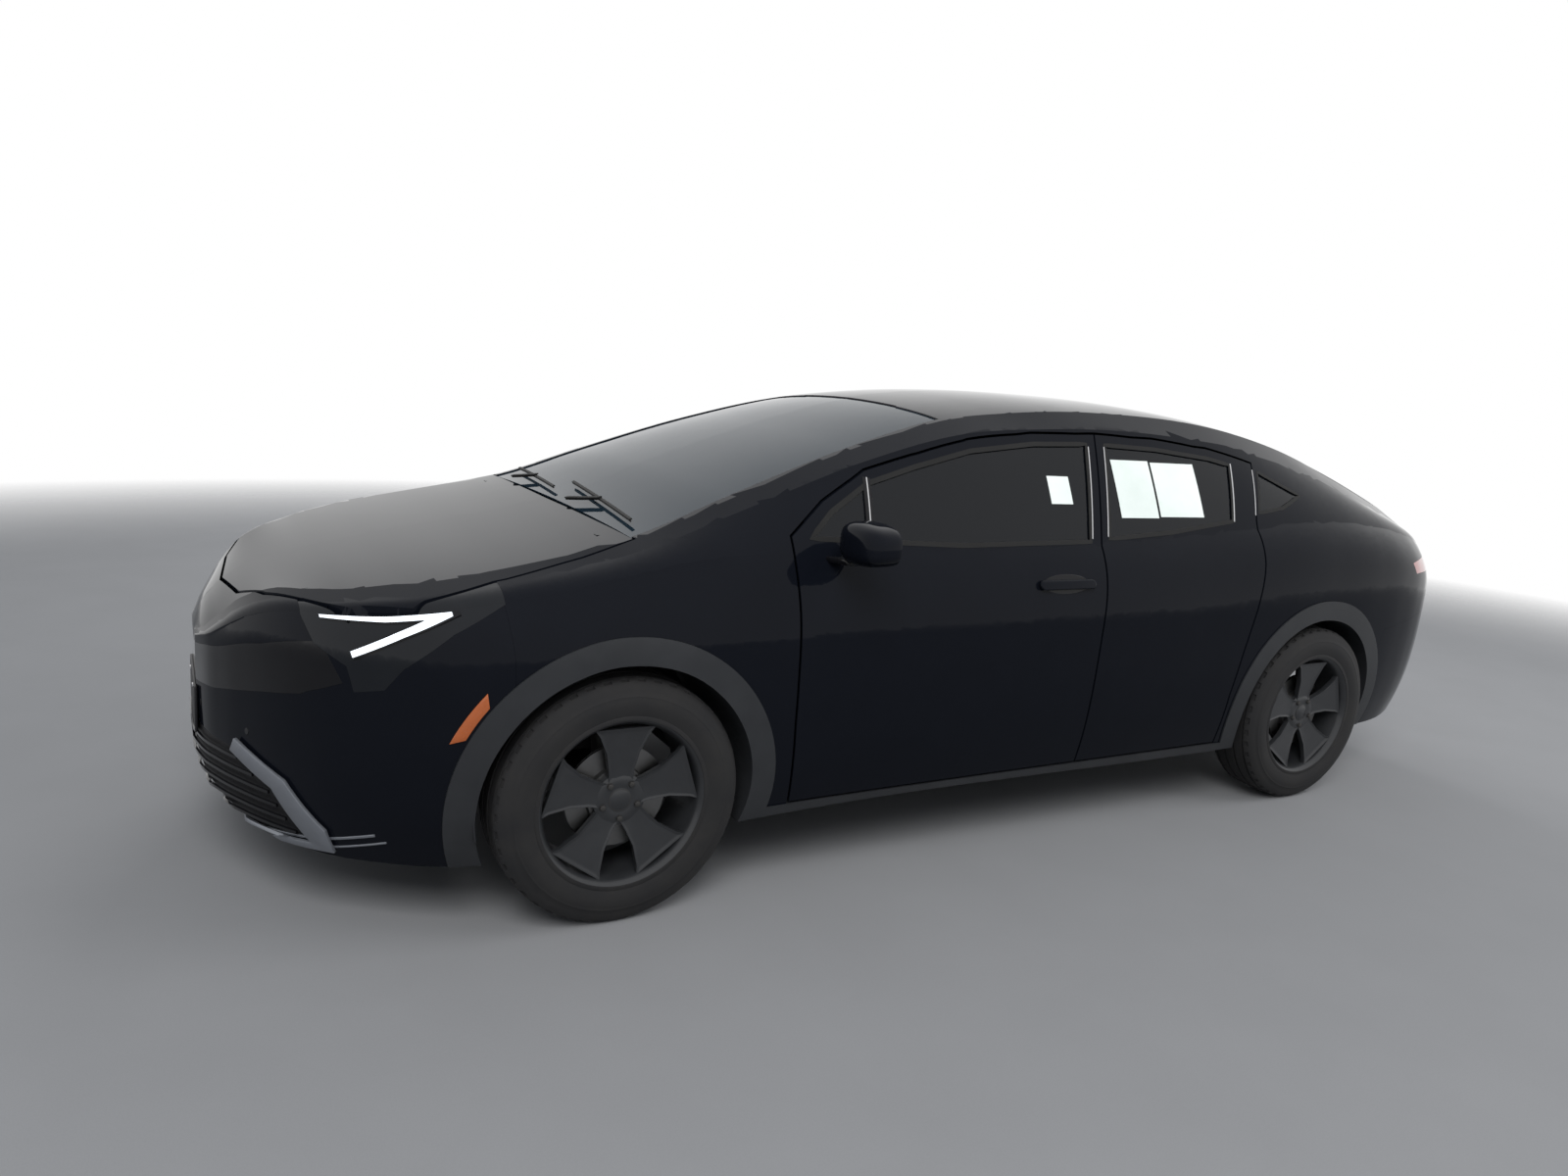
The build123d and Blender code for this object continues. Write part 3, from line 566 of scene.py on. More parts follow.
class BodySurface:
    """The car's outer skin as a smooth surface, and the slight facets of the solid model over it."""

    # Centre line of the car, from the nose to the tail.
    crown_z = law((2300, 650), (2285, 690), (2250, 742), (2200, 786), (2124, 822), (2000, 856),
                  (1850, 888), (1600, 935), (1400, 978), (1290, 1006), (1000, 1124), (600, 1268),
                  (220, 1376), (0, 1408), (-250, 1426), (-500, 1430), (-800, 1424), (-1100, 1396),
                  (-1400, 1342), (-1700, 1264), (-2000, 1166), (-2200, 1094), (-2300, 1058))
    # Half width of the widest line, and how the lines above and below it run.
    waist_y = law((2300, 150), (2285, 225), (2250, 325), (2200, 430), (2124, 560), (2060, 645),
                  (1960, 742), (1880, 800), (1790, 845), (1690, 869), (1500, 884), (1360, 888),
                  (1000, 884), (600, 878), (0, 876), (-700, 880), (-1390, 888), (-1700, 878),
                  (-1900, 858), (-2050, 828), (-2150, 794), (-2220, 755), (-2265, 705), (-2300, 630))
    waist_z = law((2300, 560), (2000, 560), (1360, 640), (800, 640), (0, 650), (-700, 670),
                  (-1390, 720), (-2000, 720), (-2300, 660))
    shoulder_in = law((2300, 12), (2000, 8), (1360, 12), (800, 14), (0, 14), (-1390, 16), (-2300, 14))
    shoulder_z = law((2300, 608), (2200, 690), (2000, 742), (1690, 770), (1360, 800), (800, 830),
                     (0, 850), (-700, 880), (-1390, 940), (-2000, 900), (-2300, 820))
    belt_in = law((2300, 22), (2200, 30), (2000, 30), (1690, 42), (1360, 58), (1000, 66), (600, 64),
                  (0, 64), (-700, 74), (-1390, 92), (-1900, 100), (-2300, 70))
    belt_z = law((2300, 628), (2200, 745), (2000, 812), (1800, 842), (1600, 872), (1360, 918),
                 (1150, 955), (800, 968), (300, 966), (-200, 974), (-700, 1002), (-1100, 1036),
                 (-1400, 1052), (-1700, 1040), (-2000, 1000), (-2300, 930))
    rail_in = law((2300, 40), (2200, 60), (2000, 62), (1690, 84), (1400, 122), (1290, 134),
                  (1000, 160), (600, 200), (200, 236), (-300, 244), (-1000, 232), (-1400, 226),
                  (-1700, 214), (-2000, 186), (-2300, 120))
    rail_z = law((2300, 638), (2200, 766), (2000, 834), (1850, 862), (1600, 905), (1400, 944),
                 (1290, 972), (1000, 1072), (600, 1208), (200, 1304), (-100, 1330), (-500, 1340),
                 (-1000, 1302), (-1400, 1222), (-1700, 1146), (-2000, 1060), (-2300, 972))
    edge_in = law((2300, 62), (2200, 110), (2000, 125), (1690, 160), (1400, 186), (1290, 196),
                  (1000, 222), (600, 268), (200, 312), (-300, 324), (-1000, 322), (-1400, 330),
                  (-1700, 330), (-2000, 290), (-2300, 200))
    edge_z = law((2300, 644), (2200, 778), (2000, 850), (1850, 880), (1600, 926), (1400, 966),
                 (1290, 992), (1000, 1098), (600, 1238), (200, 1342), (0, 1368), (-250, 1388),
                 (-500, 1392), (-1000, 1366), (-1400, 1298), (-1700, 1218), (-2000, 1122),
                 (-2300, 1016))
    foot_in = law((2300, 40), (2124, 60), (1900, 70), (1500, 60), (800, 48), (-800, 48), (-1700, 60),
                  (-2300, 60))
    foot_z = law((2300, 330), (2285, 285), (2250, 245), (2200, 215), (2100, 190), (1900, 185),
                 (1500, 195), (900, 225), (-900, 225), (-1700, 235), (-2100, 250), (-2300, 300))
    STATIONS = (2300, 2280, 2240, 2170, 2080, 1970, 1840, 1680, 1500, 1350, 1290, 1120, 900, 650, 400,
                220, 0, -250, -500, -800, -1100, -1400, -1700, -1950, -2120, -2230, -2300)
    STEP = 10.0
    REACH = 2300.0

    def __init__(self) -> None:
        """Sample the smooth skin and the faceted skin at even stations."""
        self.segments = [
            (spline_weights((0, 0.15, 0.5, 0.8, 1), np.linspace(0, 1, 45)), (0, 1, 2, 3, 4)),
            (spline_weights((0, 0.5, 1), np.linspace(0, 1, 17)), (4, 5, 6)),
            (spline_weights((0, 1), np.linspace(0, 1, 5)), (6, 7)),
            (spline_weights((0, 0.5, 1), np.linspace(0, 1, 25)), (7, 8, 9)),
        ]
        self.owner = np.concatenate([np.full(len(w), k) for k, (w, _) in enumerate(self.segments)])
        stations = np.array(sorted(self.STATIONS), float)
        self.at = np.arange(-self.REACH, self.REACH + 1, self.STEP)
        exact = self.sample(self.at)
        coarse = self.sample(stations)
        self.faceted = np.empty_like(exact)
        for j in range(exact.shape[1]):
            for k in (0, 1):
                self.faceted[:, j, k] = np.interp(self.at, stations, coarse[:, j, k])
        self.shift = exact - self.faceted
        along = np.gradient(exact, self.STEP, axis=0)
        around = np.empty_like(exact)
        start = 0
        for weights, _ in self.segments:
            stop = start + len(weights)
            around[:, start:stop] = np.gradient(exact[:, start:stop], axis=1)
            start = stop
        forward = np.concatenate([np.ones(along.shape[:2] + (1,)), along], axis=2)
        upward = np.concatenate([np.zeros(around.shape[:2] + (1,)), around], axis=2)
        normal = np.cross(upward, forward)
        self.normal = normal / np.linalg.norm(normal, axis=2, keepdims=True)
        if self.normal[len(self.at) // 2, 10, 1] < 0:
            self.normal = -self.normal

    def sample(self, x: np.ndarray) -> np.ndarray:
        """Return the section's points at an array of stations, as (y, z) pairs in millimetres."""
        laws = type(self)
        half = laws.waist_y(x)
        foot = np.stack([half - laws.foot_in(x), laws.foot_z(x)], 1)
        low = np.stack([half - 0.4 * laws.foot_in(x), 0.7 * laws.foot_z(x) + 0.3 * laws.waist_z(x)], 1)
        waist = np.stack([half, laws.waist_z(x)], 1)
        shoulder = np.stack([half - laws.shoulder_in(x), laws.shoulder_z(x)], 1)
        belt = np.stack([half - laws.belt_in(x), laws.belt_z(x)], 1)
        rail = np.stack([half - laws.rail_in(x), laws.rail_z(x)], 1)
        pane = (belt + rail) / 2 + np.array([7.0, 3.0])
        edge = np.stack([half - laws.edge_in(x), laws.edge_z(x)], 1)
        rise = laws.crown_z(x) - laws.edge_z(x)
        inner = np.stack([0.56 * edge[:, 0], laws.edge_z(x) + 0.72 * rise], 1)
        crown = np.stack([0.0 * x, laws.crown_z(x)], 1)
        points = np.stack([foot, low, waist, shoulder, belt, pane, rail, edge, inner, crown], 1)
        return np.concatenate([np.einsum("pj,sjk->spk", weights, points[:, list(used)])
                               for weights, used in self.segments], 1)

    def look_up(self, points: np.ndarray, owners: np.ndarray | None = None) -> tuple:
        """Find where points lie on the skin.

        Args:
            points: Points in millimetres.
            owners: The part of the section that each point must use, or None for the nearest.

        Returns:
            The shift to the smooth skin, the skin's normal, the depth below it and the section's part.
        """
        x = np.clip(points[:, 0], -self.REACH, self.REACH)
        place = (x + self.REACH) / self.STEP
        row = np.clip(place.astype(int), 0, len(self.at) - 2)
        share = (place - row)[:, None, None]
        side = np.where(points[:, 1] < 0, -1.0, 1.0)
        flat = np.stack([np.abs(points[:, 1]), points[:, 2]], 1)
        shift, normal = np.empty((len(points), 2)), np.empty((len(points), 3))
        depth, owner = np.empty(len(points)), np.empty(len(points), int)
        for first in range(0, len(points), 4000):
            part = slice(first, first + 4000)
            r, s = row[part], share[part]
            section = self.faceted[r] * (1 - s) + self.faceted[r + 1] * s
            away = flat[part][:, None, :] - section
            distance = np.einsum("pjk,pjk->pj", away, away)
            if owners is not None:
                distance = np.where(self.owner[None, :] == owners[part][:, None], distance, 1e12)
            best = distance.argmin(1)
            one = np.arange(len(best))
            shift[part] = (self.shift[r, best] * (1 - s[:, 0]) + self.shift[r + 1, best] * s[:, 0])
            normal[part] = (self.normal[r, best] * (1 - s[:, 0]) + self.normal[r + 1, best] * s[:, 0])
            depth[part] = -np.einsum("pk,pk->p", away[one, best], normal[part][:, 1:])
            owner[part] = self.owner[best]
        shift[:, 0] *= side
        normal[:, 1] *= side
        normal /= np.linalg.norm(normal, axis=1, keepdims=True)
        return shift, normal, depth, owner


# ---------------------------------------------------------------------------------------------
# Mesh helpers
# ---------------------------------------------------------------------------------------------
def join(bm: bmesh.types.BMesh, other: bmesh.types.BMesh, place: Matrix | None = None) -> None:
    """Move one bmesh into place and add it to another, which frees it.

    Args:
        bm: The bmesh that grows.
        other: The bmesh that is added.
        place: Where it goes.
    """
    if place is not None:
        other.transform(place)
    mesh = bpy.data.meshes.new("join")
    other.to_mesh(mesh)
    other.free()
    bm.from_mesh(mesh)
    bpy.data.meshes.remove(mesh)


def soften(bm: bmesh.types.BMesh, width: float, segments: int = 2, angle: float = 30.0) -> None:
    """Merge flat neighbours and round the edges that are sharper than an angle.

    Args:
        bm: The bmesh.
        width: The width of the rounding in metres.
        segments: Its number of steps.
        angle: The least angle in degrees between two faces.
    """
    bmesh.ops.dissolve_limit(bm, angle_limit=math.radians(0.6), verts=bm.verts, edges=bm.edges)
    sharp = [e for e in bm.edges if len(e.link_faces) == 2 and e.calc_face_angle(0.0) > math.radians(angle)]
    bmesh.ops.bevel(bm, geom=sharp, offset=width, segments=segments, profile=0.5, affect="EDGES",
                    material=-1, clamp_overlap=True)


def block(low: Sequence[float], high: Sequence[float], edge: float = 0.0, segments: int = 2
          ) -> bmesh.types.BMesh:
    """Make a box with rounded edges.

    Args:
        low: Its lowest corner in metres.
        high: Its highest corner in metres.
        edge: The width of the rounding.
        segments: The steps of the rounding.

    Returns:
        The bmesh.
    """
    bm = bmesh.new()
    bmesh.ops.create_cube(bm, size=1.0)
    low, high = Vector(low), Vector(high)
    bmesh.ops.scale(bm, vec=high - low, verts=bm.verts)
    bmesh.ops.translate(bm, vec=(high + low) / 2, verts=bm.verts)
    if edge:
        bmesh.ops.bevel(bm, geom=bm.edges[:], offset=edge, segments=segments, profile=0.5,
                        affect="EDGES", material=-1, clamp_overlap=True)
    return bm


def turned(profile: Sequence[tuple[float, float]], steps: int) -> bmesh.types.BMesh:
    """Turn a profile about the Y axis.

    Args:
        profile: Points as (place along the axis, radius), in millimetres.
        steps: The number of steps in a full turn.

    Returns:
        The bmesh, centred on the origin.
    """
    bm = bmesh.new()
    line = [bm.verts.new((0.0, y * MM, r * MM)) for y, r in profile]
    edges = [bm.edges.new(pair) for pair in zip(line, line[1:])]
    bmesh.ops.spin(bm, geom=line + edges, cent=(0, 0, 0), axis=(0, 1, 0), dvec=(0, 0, 0),
                   angle=2 * math.pi, steps=steps, use_merge=True)
    bmesh.ops.remove_doubles(bm, verts=bm.verts, dist=1e-6)
    bmesh.ops.recalc_face_normals(bm, faces=bm.faces)
    return bm


def slab(outline: Sequence[Sequence[float]], along: Sequence[float], edge: float = 0.0,
         segments: int = 2) -> bmesh.types.BMesh:
    """Extrude a closed outline.

    Args:
        outline: Its corners in metres.
        along: The vector that it is pushed along.
        edge: The width of the rounding of its edges.
        segments: The steps of the rounding.

    Returns:
        The bmesh.
    """
    bm = bmesh.new()
    face = bm.faces.new([bm.verts.new(point) for point in outline])
    pushed = bmesh.ops.extrude_face_region(bm, geom=[face])["geom"]
    bmesh.ops.translate(bm, vec=along, verts=[v for v in pushed if isinstance(v, bmesh.types.BMVert)])
    bmesh.ops.recalc_face_normals(bm, faces=bm.faces)
    if edge:
        soften(bm, edge, segments)
    return bm


def flip(bm: bmesh.types.BMesh) -> bmesh.types.BMesh:
    """Turn a left piece into a right one and return it."""
    bmesh.ops.scale(bm, vec=(1, -1, 1), verts=bm.verts)
    bmesh.ops.reverse_faces(bm, faces=bm.faces)
    return bm


def refine(points: Sequence[tuple[float, float]], pitch: float) -> list[tuple[float, float]]:
    """Return a line with points added so that no step is longer than the pitch."""
    finer: list[tuple[float, float]] = []
    for (a, b), (c, d) in zip(points, points[1:]):
        count = max(1, math.ceil(math.hypot(c - a, d - b) / pitch))
        finer += [(a + (c - a) * k / count, b + (d - b) * k / count) for k in range(count)]
    return finer + [tuple(points[-1])]


def band(first: Sequence[Vector], second: Sequence[Vector], thick: float, out: Vector,
         closed: bool = False) -> bmesh.types.BMesh:
    """Bridge two lines of points and give the strip a thickness behind it.

    Args:
        first: The first line, in metres.
        second: The second line, with as many points.
        thick: The thickness in millimetres.
        out: The side that the strip's face is turned to.
        closed: Whether each line meets its own start.

    Returns:
        The strip.
    """
    bm = bmesh.new()
    edges = []
    for line in (first, second):
        row = [bm.verts.new(point) for point in line]
        edges += [bm.edges.new(pair) for pair in zip(row, row[1:] + ([row[0]] if closed else []))]
    bmesh.ops.bridge_loops(bm, edges=edges)
    bmesh.ops.recalc_face_normals(bm, faces=bm.faces)
    bm.normal_update()
    if sum((f.normal * f.calc_area() for f in bm.faces), Vector((0, 0, 0))).dot(out) < 0:
        bmesh.ops.reverse_faces(bm, faces=bm.faces)
    bmesh.ops.solidify(bm, geom=bm.faces[:], thickness=-thick * MM)
    bmesh.ops.recalc_face_normals(bm, faces=bm.faces)
    return bm


def rails(pairs: Sequence[tuple[tuple[float, float], tuple[float, float]]], place: Callable[..., Vector],
          pitch: float = 30.0) -> tuple[list[Vector], list[Vector]]:
    """Lay two lines of points on a surface, with steps of about one pitch.

    Args:
        pairs: Matching points of the two lines.
        place: What puts a point on the surface.
        pitch: The longest step in millimetres.

    Returns:
        The two lines.
    """
    first, second = [], []
    for (a, b), (c, d) in zip(pairs, pairs[1:]):
        count = max(1, math.ceil(max(math.dist(a, c), math.dist(b, d)) / pitch))
        for k in range(count):
            t = k / count
            first.append(place(a[0] + (c[0] - a[0]) * t, a[1] + (c[1] - a[1]) * t))
            second.append(place(b[0] + (d[0] - b[0]) * t, b[1] + (d[1] - b[1]) * t))
    return first + [place(*pairs[-1][0])], second + [place(*pairs[-1][1])]


@dataclass
class Workshop:
    """What every sub-assembly needs: the frame's nodes, the finishes and the smooth skin."""

    nodes: dict[str, bpy.types.Object]
    finishes: Finishes
    surface: BodySurface
    made: int = 0

    def copy(self, node: str) -> bmesh.types.BMesh:
        """Return a node's mesh with its loose triangles joined."""
        bm = bmesh.new()
        bm.from_mesh(self.nodes[node].data)
        bmesh.ops.remove_doubles(bm, verts=bm.verts, dist=2e-5)
        return bm

    def body_of(self, node: str) -> str:
        """Return the body that a node rides on."""
        return self.nodes[node]["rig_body"]

    def dress(self, node: str, look: Look) -> None:
        """Give a node that stays as it is a finish."""
        data = self.nodes[node].data
        data.materials.clear()
        data.materials.append(self.finishes[look])

    def finish(self, name: str, bm: bmesh.types.BMesh, looks: "Look | Sequence[Look]", body: str,
               replaces: Iterable[str] = (), slot: str | None = None, smooth: float | None = 35.0
               ) -> bpy.types.Object:
        """Turn a bmesh into a finished piece.

        Args:
            name: The piece's name.
            bm: Its mesh, in metres, which is freed.
            looks: Its finish, or its finishes by material number.
            body: The body that it rides on.
            replaces: The nodes that it stands for.
            slot: The record's material slot, or None; it is not used.
            smooth: The angle in degrees below which edges look smooth, or None for flat.

        Returns:
            The object.
        """
        mesh = bpy.data.meshes.new(name)
        bm.normal_update()
        bm.to_mesh(mesh)
        bm.free()
        piece = bpy.data.objects.new(name, mesh)
        bpy.context.scene.collection.objects.link(piece)
        for look in (looks if isinstance(looks, (list, tuple)) else [looks]):
            mesh.materials.append(self.finishes[look])
        if smooth is not None:
            mesh.shade_smooth()
            mesh.set_sharp_from_angle(angle=math.radians(smooth))
        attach(piece, body)
        for node in replaces:
            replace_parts(piece, node)
        self.made += 1
        log.info("%s: %d faces", name, len(mesh.polygons))
        return piece

    def skin_panel(self, node: str, look: Look, slot: str, inside: Look | None = None,
                   pitch: float = 50.0) -> bpy.types.Object:
        """Replace a node that follows the skin by a copy without the solid's slight facets.

        Args:
            node: The node's name.
            look: Its finish.
            slot: The record's material slot.
            inside: The finish of its inner faces, where it is another.
            pitch: The step in millimetres between the cuts across the car.

        Returns:
            The object.
        """
        bm = self.copy(node)
        xs = [v.co.x for v in bm.verts]
        low, high = min(xs) / MM, max(xs) / MM
        for x in np.arange(math.ceil(low / pitch) * pitch, high, pitch):
            bmesh.ops.bisect_plane(bm, geom=bm.verts[:] + bm.edges[:] + bm.faces[:], dist=1e-6,
                                   plane_co=(x * MM, 0, 0), plane_no=(1, 0, 0))
        across = 2 if max(v.co.y for v in bm.verts) * min(v.co.y for v in bm.verts) > 0 else 1
        reach = [v.co[across] / MM for v in bm.verts]
        for place in np.arange(math.ceil(min(reach) / pitch) * pitch, max(reach), pitch):
            cut, normal = [0.0] * 3, [0.0] * 3
            cut[across], normal[across] = place * MM, 1.0
            bmesh.ops.bisect_plane(bm, geom=bm.verts[:] + bm.edges[:] + bm.faces[:], dist=1e-6,
                                   plane_co=cut, plane_no=normal)
        bm.normal_update()
        bm.verts.index_update()
        points = np.array([v.co for v in bm.verts]) / MM
        centres = np.array([f.calc_center_median() for f in bm.faces]) / MM
        flats = np.array([f.normal for f in bm.faces])
        _, skin, depth, owner = self.surface.look_up(centres)
        facing = np.einsum("ij,ij->i", flats, skin)
        outer = (facing > 0.9) & (depth < 12.0)
        inner = (facing < -0.88) & (depth < 75.0)
        shift = self.surface.look_up(points)[0]
        corner, chosen = [], []
        for face, follows in zip(bm.faces, outer | inner):
            face.smooth = True
            if follows:
                for loop in face.loops:
                    corner.append(loop.vert.index)
                    chosen.append(face.index)
        _, normals, _, _ = self.surface.look_up(points[corner], owner[chosen])
        normals[inner[chosen]] *= -1.0
        place = iter(normals)
        loops: list[Sequence[float]] = []
        for face, follows, flat in zip(bm.faces, outer | inner, flats):
            for loop in face.loops:
                if follows:
                    loops.append(next(place))
                    continue
                mean = Vector((0, 0, 0))
                for near in loop.vert.link_faces:
                    if near.normal.dot(face.normal) > 0.85:
                        mean += near.normal * near.calc_area()
                loops.append(mean.normalized() if mean.length > 0 else flat)
            if inside is not None and follows and inner[face.index]:
                face.material_index = 1
        skinned = set(corner)
        for v, (dy, dz) in zip(bm.verts, shift):
            if v.index in skinned:
                v.co.y += dy * MM
                v.co.z += dz * MM
        piece = self.finish(node + "_panel", bm, [look] if inside is None else [look, inside],
                            self.body_of(node), [node], slot, smooth=None)
        piece.data.shade_smooth()
        piece.data.normals_split_custom_set([tuple(n) for n in loops])
        return piece

    def side_point(self, x: float, z: float, proud: float, sign: float = 1.0) -> Vector:
        """Return the point on the car's side at a station and a height, in metres.

        Args:
            x: The station in millimetres.
            z: The height in millimetres.
            proud: The distance outside the skin in millimetres.
            sign: One for the left, and minus one for the right.
        """
        section = self.surface.sample(np.array([float(x)]))[0][:66]
        y = float(np.interp(z, section[:, 1], section[:, 0]))
        up, down = (float(np.interp(z + d, section[:, 1], section[:, 0])) for d in (4.0, -4.0))
        normal = Vector((0.0, 8.0, -(up - down))).normalized()
        at = Vector((x, y, z)) + normal * proud
        return Vector((at.x, at.y * sign, at.z)) * MM

    def top_point(self, x: float, y: float, proud: float) -> Vector:
        """Return the point on the bonnet, roof or tailgate at a station and a half width.

        Args:
            x: The station in millimetres.
            y: The half width in millimetres, on either side.
            proud: The distance above the skin in millimetres.
        """
        section = self.surface.sample(np.array([float(x)]))[0][45:][::-1]
        z = float(np.interp(abs(y), section[:, 0], section[:, 1]))
        return Vector((x, y, z + proud)) * MM

    def end_point(self, y: float, z: float, proud: float, end: float = 1.0) -> Vector:
        """Return the point on the nose or the tail at a half width and a height, in metres.

        Args:
            y: The place across the car in millimetres.
            z: The height in millimetres.
            proud: The distance outside the skin in millimetres.
            end: One for the nose, and minus one for the tail.
        """
        inside, outside = 1500.0, BodySurface.REACH
        for _ in range(12):
            middle = (inside + outside) / 2
            section = self.surface.sample(np.array([middle * end]))[0]
            wide = float(np.interp(z, section[:, 1], section[:, 0], left=-1.0, right=-1.0))
            inside, outside = (middle, outside) if wide >= abs(y) else (inside, middle)
        return Vector((end * (inside + proud), y, z)) * MM

    def side_ribbon(self, line: Sequence[tuple[float, float]], width: float, proud: float, thick: float,
                    sign: float = 1.0, closed: bool = False, pitch: float = 30.0) -> bmesh.types.BMesh:
        """Lay a flat strip on the car's side along a line seen from the side.

        Args:
            line: The line in millimetres, as (x, z).
            width: The strip's width.
            proud: How far it stands outside the skin.
            thick: Its thickness.
            sign: One for the left, and minus one for the right.
            closed: Whether the line meets its own start.
            pitch: The longest step along it.

        Returns:
            The strip.
        """
        points = refine(list(line) + ([line[0]] if closed else []), pitch)
        if closed:
            points = points[:-1]
        count = len(points)
        rims: list[tuple[Vector, Vector]] = []
        for i, (x, z) in enumerate(points):
            a = points[(i - 1) % count] if closed or i else points[i]
            b = points[(i + 1) % count] if closed or i < count - 1 else points[i]
            run = Vector((b[0] - a[0], 0, b[1] - a[1])).normalized() * (width / 2)
            rims.append((self.side_point(x - run.z, z + run.x, proud, sign),
                         self.side_point(x + run.z, z - run.x, proud, sign)))
        bm = bmesh.new()
        first = [bm.verts.new(rim[0]) for rim in rims]
        pairs = list(zip(first, first[1:])) + ([(first[-1], first[0])] if closed else [])
        edges = [bm.edges.new(pair) for pair in pairs]
        grown = bmesh.ops.extrude_edge_only(bm, edges=edges)["geom"]
        fresh = [v for v in grown if isinstance(v, bmesh.types.BMVert)]
        for v in fresh:
            near = min(range(count), key=lambda k: (rims[k][0] - v.co).length_squared)
            v.co = rims[near][1]
        bmesh.ops.recalc_face_normals(bm, faces=bm.faces)
        bm.normal_update()
        if bm.faces[:][0].normal.y * sign > 0:
            bmesh.ops.reverse_faces(bm, faces=bm.faces)
        bmesh.ops.solidify(bm, geom=bm.faces[:], thickness=-thick * MM)
        bmesh.ops.recalc_face_normals(bm, faces=bm.faces)
        return bm


# ---------------------------------------------------------------------------------------------
# Bodywork
# ---------------------------------------------------------------------------------------------
SIDES: tuple[tuple[str, float], ...] = (("left", 1.0), ("right", -1.0))


@dataclass
class Bodywork:
    """The painted panels, the trim and the glass, which all follow the smooth skin."""

    shop: Workshop
    painted: tuple[str, ...] = ("front_fender_left", "front_fender_right", "front_bumper", "nose_panel",
                                "bonnet", "rear_bumper", "tailgate", "body_side_left", "body_side_right")
    doors: tuple[str, ...] = ("front_door", "rear_door")
    panes: tuple[str, ...] = ("quarter_glass", "front_door_glass_left", "front_door_glass_right",
                              "rear_door_glass_left", "rear_door_glass_right", "tailgate_glass")

    def build(self) -> None:
        """Dress every panel."""
        panel = self.shop.skin_panel
        for node in self.painted:
            panel(node, Look.PAINT, "paint", Look.UNDERBODY)
        panel("roof", Look.PAINT, "paint", Look.CABIN_PALE)
        for door in self.doors:
            for side, _ in SIDES:
                panel(f"{door}_{side}", Look.PAINT, "paint", Look.CABIN)
        for side, _ in SIDES:
            panel(f"headlamp_{side}", Look.LAMP_DARK, "gloss_black")
            panel(f"tail_lamp_{side}", Look.RED, "tail_lamp")
            panel(f"arch_trim_{side}", Look.CLADDING, "cladding", Look.LINER)
        panel("nose_band", Look.GLOSS, "gloss_black")
        panel("lower_grille", Look.GRILLE, "grille")
        panel("windscreen", Look.SCREEN_GLASS, "glass")
        for pane in self.panes:
            panel(pane, Look.SIDE_GLASS, "glass")


